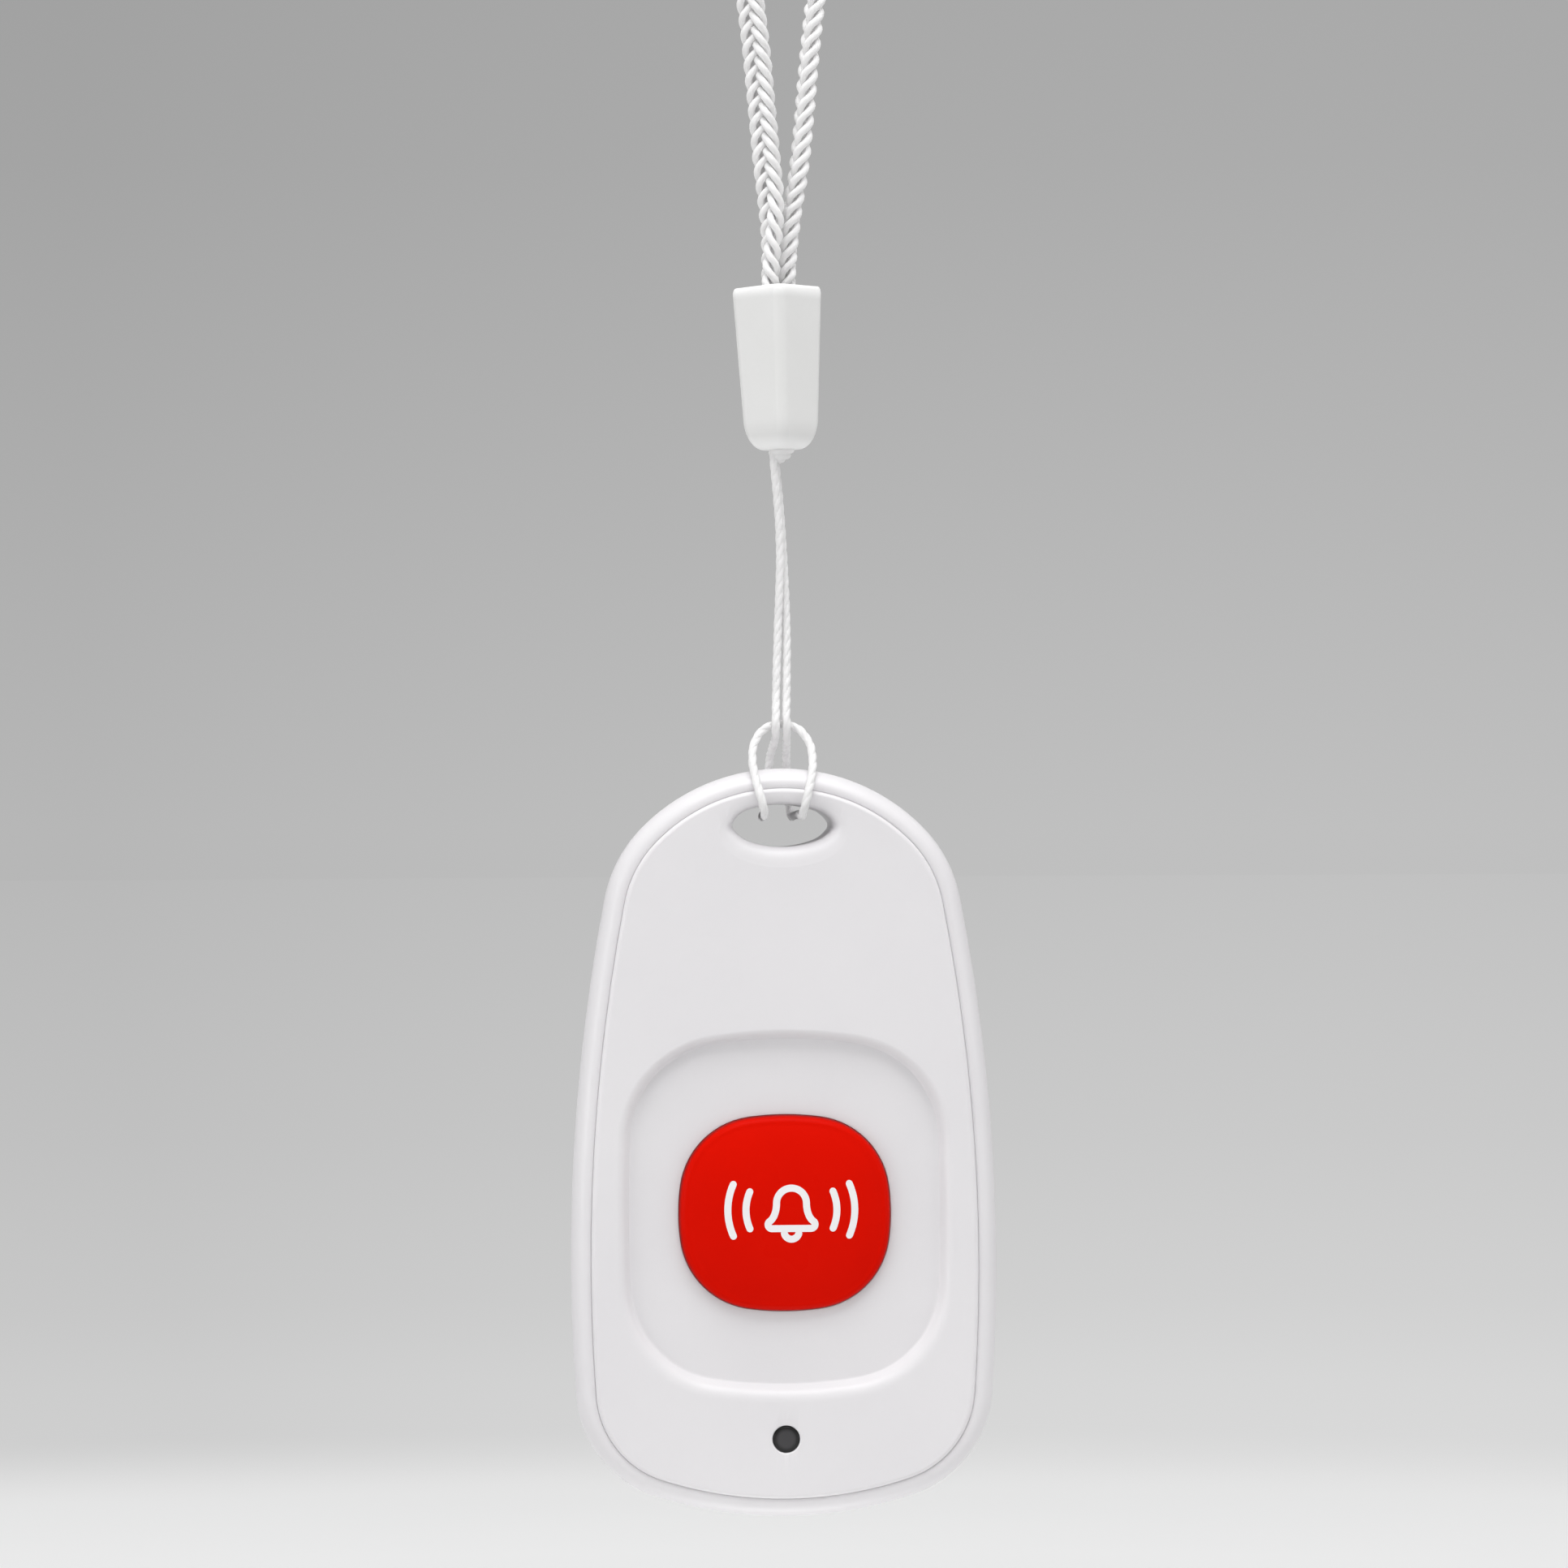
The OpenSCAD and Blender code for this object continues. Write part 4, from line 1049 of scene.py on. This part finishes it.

# %% [markdown]
# ## Finishes
#
# A finish is a material for one or more pieces. Plastic, yarn and metal are three functions that
# take two tones and a roughness or a sheen; what is special about one finish, such as the rubbed crown
# of the button, is painted over its own material. The button is red to the eye but throws back a
# neutral light from its crown, because a pure red would stain the white pocket round it.

# %% Finishes
def finished(name, effect, light, shade, rough, depth, strength=0.5, rough_by=("Tone", 0, 1), fine=None):
    """A material with two tones, a range of roughness and a bump, in millimetres, by an effect."""
    material = bpy.data.materials.new(name)
    material.use_nodes = True
    tree, look = opened(material)
    group = add(tree, "ShaderNodeGroup", node_tree=EFFECTS[effect])
    if fine:
        group.inputs["Fine"].default_value = fine
    source, low, high = rough_by
    tree.links.new(mixed(tree, group.outputs["Tone"], (*light, 1), (*shade, 1)), look["Base Color"])
    tree.links.new(ranged(tree, group.outputs[source], low, high, *rough), look["Roughness"])
    bump = {"Height": group.outputs["Height"], "Distance": depth * MM, "Strength": strength}
    tree.links.new(add(tree, "ShaderNodeBump", bump).outputs[0], look["Normal"])
    return material


def opened(material):
    """Node tree of a material and the inputs of its shader."""
    return material.node_tree, material.node_tree.nodes["Principled BSDF"].inputs


def painted(tree, look, mask, colour):
    """Lays a colour over a finish where a mask is 1."""
    body = look["Base Color"].links[0].from_socket
    tree.links.new(mixed(tree, mask, body, (*colour, 1)), look["Base Color"])


def plastic(name, light, shade, rough, grain=8000, depth=0.004):
    return finished(name, "moulded_grain", light, shade, rough, depth, fine=grain)


def yarn_finish(name, light, shade, sheen):
    material = finished(name, "spun_fibre", light, shade, (0.45, 0.7), 0.02, 0.6, ("Height", 0.3, 0.7))
    opened(material)[1]["Sheen Weight"].default_value = sheen
    return material


def metal(name, light, shade, rough):
    material = finished(name, "rolled_metal", light, shade, rough, 0.003, 0.4)
    opened(material)[1]["Metallic"].default_value = 1.0
    return material


def away_from(tree, middle):
    """Distance of a place on a piece from a point, in metres."""
    return vectored(tree, "DISTANCE", "Value", {0: own_place(tree), 1: middle})


def ringed_lens():
    """Smoked lens, darker towards its edge."""
    material = plastic("smoked_lens", (0.052, 0.050, 0.053), (0.042, 0.041, 0.043), (0.16, 0.26), 5000, 0.002)
    tree, look = opened(material)
    away = away_from(tree, stood_up((*lens_at, lens_front)))
    painted(tree, look, ranged(tree, away, 0.55 * MM, 0.95 * MM, smooth=True), (0.006, 0.006, 0.006))
    look["Specular IOR Level"].default_value = 0.4
    look["Coat Weight"].default_value = 0.15
    return material


def rubbed_red():
    """Red cap, smoother where fingers press it, with painted shade at its foot, that throws back a neutral
    light.
    """
    material = plastic("red_button", (0.70, 0.0052, 0.0004), (0.665, 0.0044, 0.0003), (0.3, 0.4))
    tree, look = opened(material)
    away = away_from(tree, stood_up((*button_at, button_top)))
    rub = ranged(tree, away, 3 * MM, 8 * MM, 0.06, 0.0, smooth=True)
    rough = look["Roughness"].links[0].from_socket
    tree.links.new(counted(tree, "SUBTRACT", rough, rub), look["Roughness"])
    look["Specular IOR Level"].default_value = 0.025
    # Painted shade: near its foot, next to the pocket floor, the cap is painted dark red for the shade in the
    # gap round it.
    foot = crown_level(0) - button_edge
    low = ranged(tree, own_axes(tree)["Y"], -(foot + 0.8) * MM, -(foot + 0.25) * MM, smooth=True)
    painted(tree, look, low, (0.26, 0.0012, 0.0002))
    thrown = add(tree, "ShaderNodeLightPath").outputs["Is Diffuse Ray"]
    neutral = counted(tree, "MULTIPLY", thrown, counted(tree, "SUBTRACT", 1.0, low))
    painted(tree, look, neutral, (0.4, 0.39, 0.4))
    return material


def painted_highlight_ends():
    """Soft white sleeve with painted highlights: paler at its mouth and its foot, for the light their rounded
    edges catch.
    """
    material = plastic("white_ferrule", (0.8, 0.8, 0.795), (0.77, 0.77, 0.76), (0.38, 0.5), 3000, 0.01)
    tree, look = opened(material)
    along = counted(tree, "SUBTRACT", own_axes(tree)["Z"], ferrule_at[2] * MM)
    mouth = ranged(tree, along, (ferrule_h - 1.1) * MM, (ferrule_h - 0.3) * MM, smooth=True)
    foot = ranged(tree, along, 0.2 * MM, 1.2 * MM, 1.0, 0.0, smooth=True)
    # Painted highlights: the top lip and the foot are painted paler for the light that their roundings catch.
    painted(tree, look, counted(tree, "MAXIMUM", mouth, foot), (0.95, 0.95, 0.945))
    return material


white = ((0.80, 0.785, 0.80), (0.775, 0.76, 0.778))
white_shell = plastic("white_shell", *white, (0.34, 0.42))
white_string = yarn_finish("white_string", (0.85, 0.845, 0.845), (0.78, 0.775, 0.775), 0.12)
outer_finishes = (
    (rear, white_shell), (knot, white_string), (string, white_string), (lens, ringed_lens()),
    (cap, rubbed_red()), (ferrule, painted_highlight_ends()), (cover, plastic("white_cover", *white, (0.36, 0.44))),
    (ink, plastic("white_ink", (0.9, 0.89, 0.9), (0.86, 0.85, 0.86), (0.42, 0.52), 12000, 0.003)),
    (cord, yarn_finish("white_braid", (0.92, 0.915, 0.915), (0.86, 0.855, 0.855), 0.2)),
)
for piece, material in outer_finishes:
    piece.data.materials.clear()
    piece.data.materials.append(material)
print("finishes of the outside:", len({material for _, material in outer_finishes}))

# %% [markdown]
# ## Finishes of the inside
#
# The board, the battery and the switch, apart from its dome, keep their CAD shapes. Their finishes are
# put on the objects and not on the meshes, which belong to the frame. Chips are one finish with two
# materials in it: whatever lies further from the middle of the chip than its body is plated.

# %% Finishes of the inside
def plated_ends(material, axis, middles, reach):
    """Makes a plastic finish metal further than a reach from the middles of the chips, in millimetres."""
    tree, look = opened(material)
    place, nearest = own_axes(tree)[axis], 1.0
    for middle in middles:
        away = counted(tree, "ABSOLUTE", counted(tree, "SUBTRACT", place, middle * MM))
        nearest = counted(tree, "MINIMUM", away, nearest)
    mask = counted(tree, "GREATER_THAN", nearest, reach * MM)
    painted(tree, look, mask, (0.72, 0.71, 0.68))
    tree.links.new(mask, look["Metallic"])
    return material


def printed_board():
    """Green laminate with the fine paler lines of the tracks under its varnish."""
    material = plastic("board_laminate", (0.016, 0.1, 0.04), (0.01, 0.075, 0.03), (0.3, 0.42), 6000, 0.003)
    tree, look = opened(material)
    quarter = (radians(-90), 0, 0)
    upright = add(tree, "ShaderNodeMapping", {"Vector": own_place(tree), "Rotation": quarter}).outputs[0]
    tracks = add(tree, "ShaderNodeTexBrick", {
        "Vector": upright, "Scale": 900.0, "Mortar Size": 0.06, "Mortar Smooth": 0.2, "Row Height": 0.7,
    })
    painted(tree, look, tracks.outputs["Fac"], (0.03, 0.17, 0.07))
    return material


black = ((0.022, 0.022, 0.024), (0.014, 0.014, 0.015))
chip_plastic = plated_ends(plastic("chip_plastic", *black, (0.4, 0.55), 5000, 0.006), "Z", [-17], 1.95)
capacitor_ceramic = plastic("capacitor_ceramic", (0.42, 0.29, 0.18), (0.34, 0.23, 0.14), (0.3, 0.45))
resistor_body = plastic("resistor_body", *black, (0.25, 0.4))
nickel = ((0.72, 0.7, 0.67), (0.6, 0.58, 0.55))
steel = ((0.62, 0.62, 0.63), (0.5, 0.5, 0.51))
inner_finishes = {
    "indicator_diode": plastic("diode_body", (0.82, 0.8, 0.7), (0.74, 0.72, 0.62), (0.12, 0.22), 4000, 0.002),
    "circuit_board": printed_board(),
    "antenna_trace": metal("copper", (0.86, 0.45, 0.28), (0.7, 0.34, 0.2), (0.25, 0.4)),
    "encoder_chip": chip_plastic,
    "saw_resonator": metal("can_steel", *nickel, (0.2, 0.32)),
    "chip_capacitors": plated_ends(capacitor_ceramic, "X", [-1.4, 0, 1.4], 0.44),
    "chip_resistors": plated_ends(resistor_body, "X", [-5.2, -3.4, 3.4], 0.44),
    "switch_base": plastic("switch_plastic", *black, (0.4, 0.5), 6000, 0.005),
    "switch_terminals": metal("plated_terminal", (0.74, 0.73, 0.7), (0.62, 0.61, 0.58), (0.25, 0.4)),
    "switch_plunger": plastic("plunger_plastic", (0.3, 0.3, 0.31), (0.25, 0.25, 0.26), (0.35, 0.45)),
    "switch_plate": metal("switch_steel", *steel, (0.25, 0.38)),
    "coin_cell": metal("cell_steel", (0.7, 0.7, 0.71), (0.6, 0.6, 0.61), (0.16, 0.3)),
    "positive_contact": metal("contact_metal", *nickel, (0.22, 0.36)),
    "battery_door": white_shell,
    "door_seal": plastic("seal_rubber", (0.045, 0.045, 0.047), (0.03, 0.03, 0.032), (0.6, 0.75), 5000, 0.008),
    "board_screws": metal("screw_steel", *steel, (0.28, 0.42)),
}
inner_finishes["negative_contact"] = inner_finishes["positive_contact"]
dome.data.materials.append(metal("spring_metal", (0.68, 0.66, 0.6), (0.58, 0.56, 0.5), (0.18, 0.3)))
for name, material in inner_finishes.items():
    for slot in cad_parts[name].material_slots:
        slot.link = "OBJECT"
        slot.material = material
print("finishes of the inside:", len(set(inner_finishes.values())), "on", len(inner_finishes), "pieces")

# %% [markdown]
# ## Stage
#
# The floor is pale and round. Near the case it is an ordinary matt floor; further away it shines by
# itself for the camera, so that it fades evenly into the grey of the studio. Behind the case it looks
# paler to the eye than it is to the light, which keeps the underside of the case from being washed
# out. Under the case and towards the front, where the lamps are bright, it is toned down. The light
# comes from a wide soft box overhead, a panel on each side, an even room, and a small card under the
# foot of the case, almost in the plane of its face, that lifts the rim and hardly touches the face.

# %% Stage
def grey(tone):
    """Linear colour of a grey that shows as a tone from 0 to 255."""
    value = ((tone / 255 + 0.055) / 1.055) ** 2.4
    return (value, value, value, 1)


def tone_ramp(tree, share, tones):
    """Greys along a share from 0 to 1."""
    ramp = add(tree, "ShaderNodeValToRGB", {0: share})
    stops = ramp.color_ramp.elements
    for place, tone in tones[1:-1]:
        stops.new(place).color = grey(tone)
    stops[0].color = grey(tones[0][1])
    stops[-1].color = grey(tones[-1][1])
    return ramp.outputs[0]


def seen_directly(tree):
    """1 for rays that show a surface to the eye, straight or in a mirror or glass."""
    path = add(tree, "ShaderNodeLightPath")
    sight = counted(tree, "MAXIMUM", path.outputs["Is Camera Ray"], path.outputs["Is Glossy Ray"])
    return counted(tree, "MAXIMUM", sight, path.outputs["Is Transmission Ray"])


def side_shaded(tree, tones, side, amount=1.0):
    """Tones that fall off on both sides of a brightest place, which lies a little to the right."""
    off = counted(tree, "MULTIPLY", counted(tree, "SUBTRACT", side, brightest_side), side_fall)
    fall = counted(tree, "MINIMUM", counted(tree, "MULTIPLY", off, off), 1.0)
    fall = counted(tree, "MULTIPLY", fall, amount)
    keep = counted(tree, "SUBTRACT", 1.0, counted(tree, "MULTIPLY", fall, most_fall))
    return vectored(tree, "SCALE", 0, {0: tones, "Scale": keep})


brightest_side = 0.152
side_fall = 4.27
most_fall = 0.1
floor_level = -115 * MM
floor_radius = 12
horizon_tone = 191.8
thrown_tone = 212
front_tone = 205
behind_tones = (245, 248)
near_tones = (212, 215)
behind_span = (-0.3, 0.25)
near_span = (0.05, 0.4)
glow_span = (0.474, 0.576)
floor_tones = [(0.55, 217), (0.657, 215), (0.842, 209), (1.51, 202), (3.66, 196.9)]
bpy.ops.object.select_all(action="DESELECT")
floor_place = (0, 0, floor_level)
bpy.ops.mesh.primitive_circle_add(vertices=128, radius=floor_radius, fill_type="NGON", location=floor_place)
floor = bpy.context.object
floor.name = "floor"
bpy.ops.object.transform_apply(location=True)
floor_paint = bpy.data.materials.new("floor_paint")
floor_paint.use_nodes = True
tree, look = opened(floor_paint)
look["Roughness"].default_value = 0.9
look["Specular IOR Level"].default_value = 0.1
place = own_place(tree)
patch = noise(tree, place, 12.0, 3.0)
reach = vectored(tree, "LENGTH", "Value", {0: vectored(tree, "MULTIPLY", 0, {0: place, 1: (1, 1, 0)})})
spot = own_axes(tree)
behind = ranged(tree, spot["Y"], *behind_span, smooth=True)
around = mixed(tree, behind, grey(front_tone), mixed(tree, patch, *map(grey, behind_tones)))
near = mixed(tree, patch, *map(grey, near_tones))
shown = mixed(tree, ranged(tree, reach, *near_span), near, around)
tree.links.new(mixed(tree, seen_directly(tree), grey(thrown_tone), shown), look["Base Color"])
span = counted(tree, "DIVIDE", reach, counted(tree, "ADD", reach, 1.0))
stops = [(r / (r + 1), tone) for r, tone in floor_tones]
tones = tone_ramp(tree, span, [(0, floor_tones[0][1])] + stops + [(1, horizon_tone)])
side = counted(tree, "DIVIDE", spot["X"], counted(tree, "ADD", spot["Y"], camera_distance))
glow = add(tree, "ShaderNodeEmission", {"Color": side_shaded(tree, tones, side, behind)})
far = ranged(tree, reach, *glow_span, smooth=True)
share = counted(tree, "MULTIPLY", far, seen_directly(tree))
matt = tree.nodes["Principled BSDF"].outputs[0]
surface = add(tree, "ShaderNodeMixShader", {0: share, 1: matt, 2: glow.outputs[0]})
tree.links.new(surface.outputs[0], tree.nodes["Material Output"].inputs["Surface"])
floor.data.materials.append(floor_paint)

room_light = 0.59
wall_height = 0.16
wall_tones = [(0, horizon_tone), (0.41, 181.7), (0.8, 172.1), (1, 169.8)]
room = bpy.data.worlds.new("room")
room.use_nodes = True
scene.world = room
tree = room.node_tree
toward = add(tree, "ShaderNodeSeparateXYZ", {0: add(tree, "ShaderNodeTexCoord").outputs["Generated"]})
height = ranged(tree, toward.outputs["Z"], 0.0, wall_height)
wall = tone_ramp(tree, height, wall_tones)
seen = add(tree, "ShaderNodeBackground", {"Color": side_shaded(tree, wall, toward.outputs["X"])})
light = add(tree, "ShaderNodeBackground", {"Color": (1, 1, 1, 1), "Strength": room_light})
both = add(tree, "ShaderNodeMixShader", {0: seen_directly(tree), 1: light.outputs[0], 2: seen.outputs[0]})
tree.links.new(both.outputs[0], tree.nodes["World Output"].inputs["Surface"])


def soft_light(name, place, aim, size, power):
    bpy.ops.object.light_add(type="AREA", location=place)
    lamp = bpy.context.object
    lamp.name = name
    lamp.rotation_euler = (Vector(place) - Vector(aim)).to_track_quat("Z", "Y").to_euler()
    lamp.data.size = size
    lamp.data.energy = power
    lamp.visible_camera = False


case_middle = (0, 0, -0.02)
soft_light("box_above", (0, -0.22, 0.64), case_middle, 0.6, 4.05)
soft_light("panel_left", (-0.8, -0.38, -0.02), case_middle, 0.5, 1.85)
soft_light("panel_right", (0.8, -0.38, -0.02), case_middle, 0.5, 1.0)
soft_light("card_below", (0, -0.006, -0.09), (0, -0.006, -0.05), 0.03, 0.0046)
print("floor at", round(floor_level / MM), "mm and four soft lights")
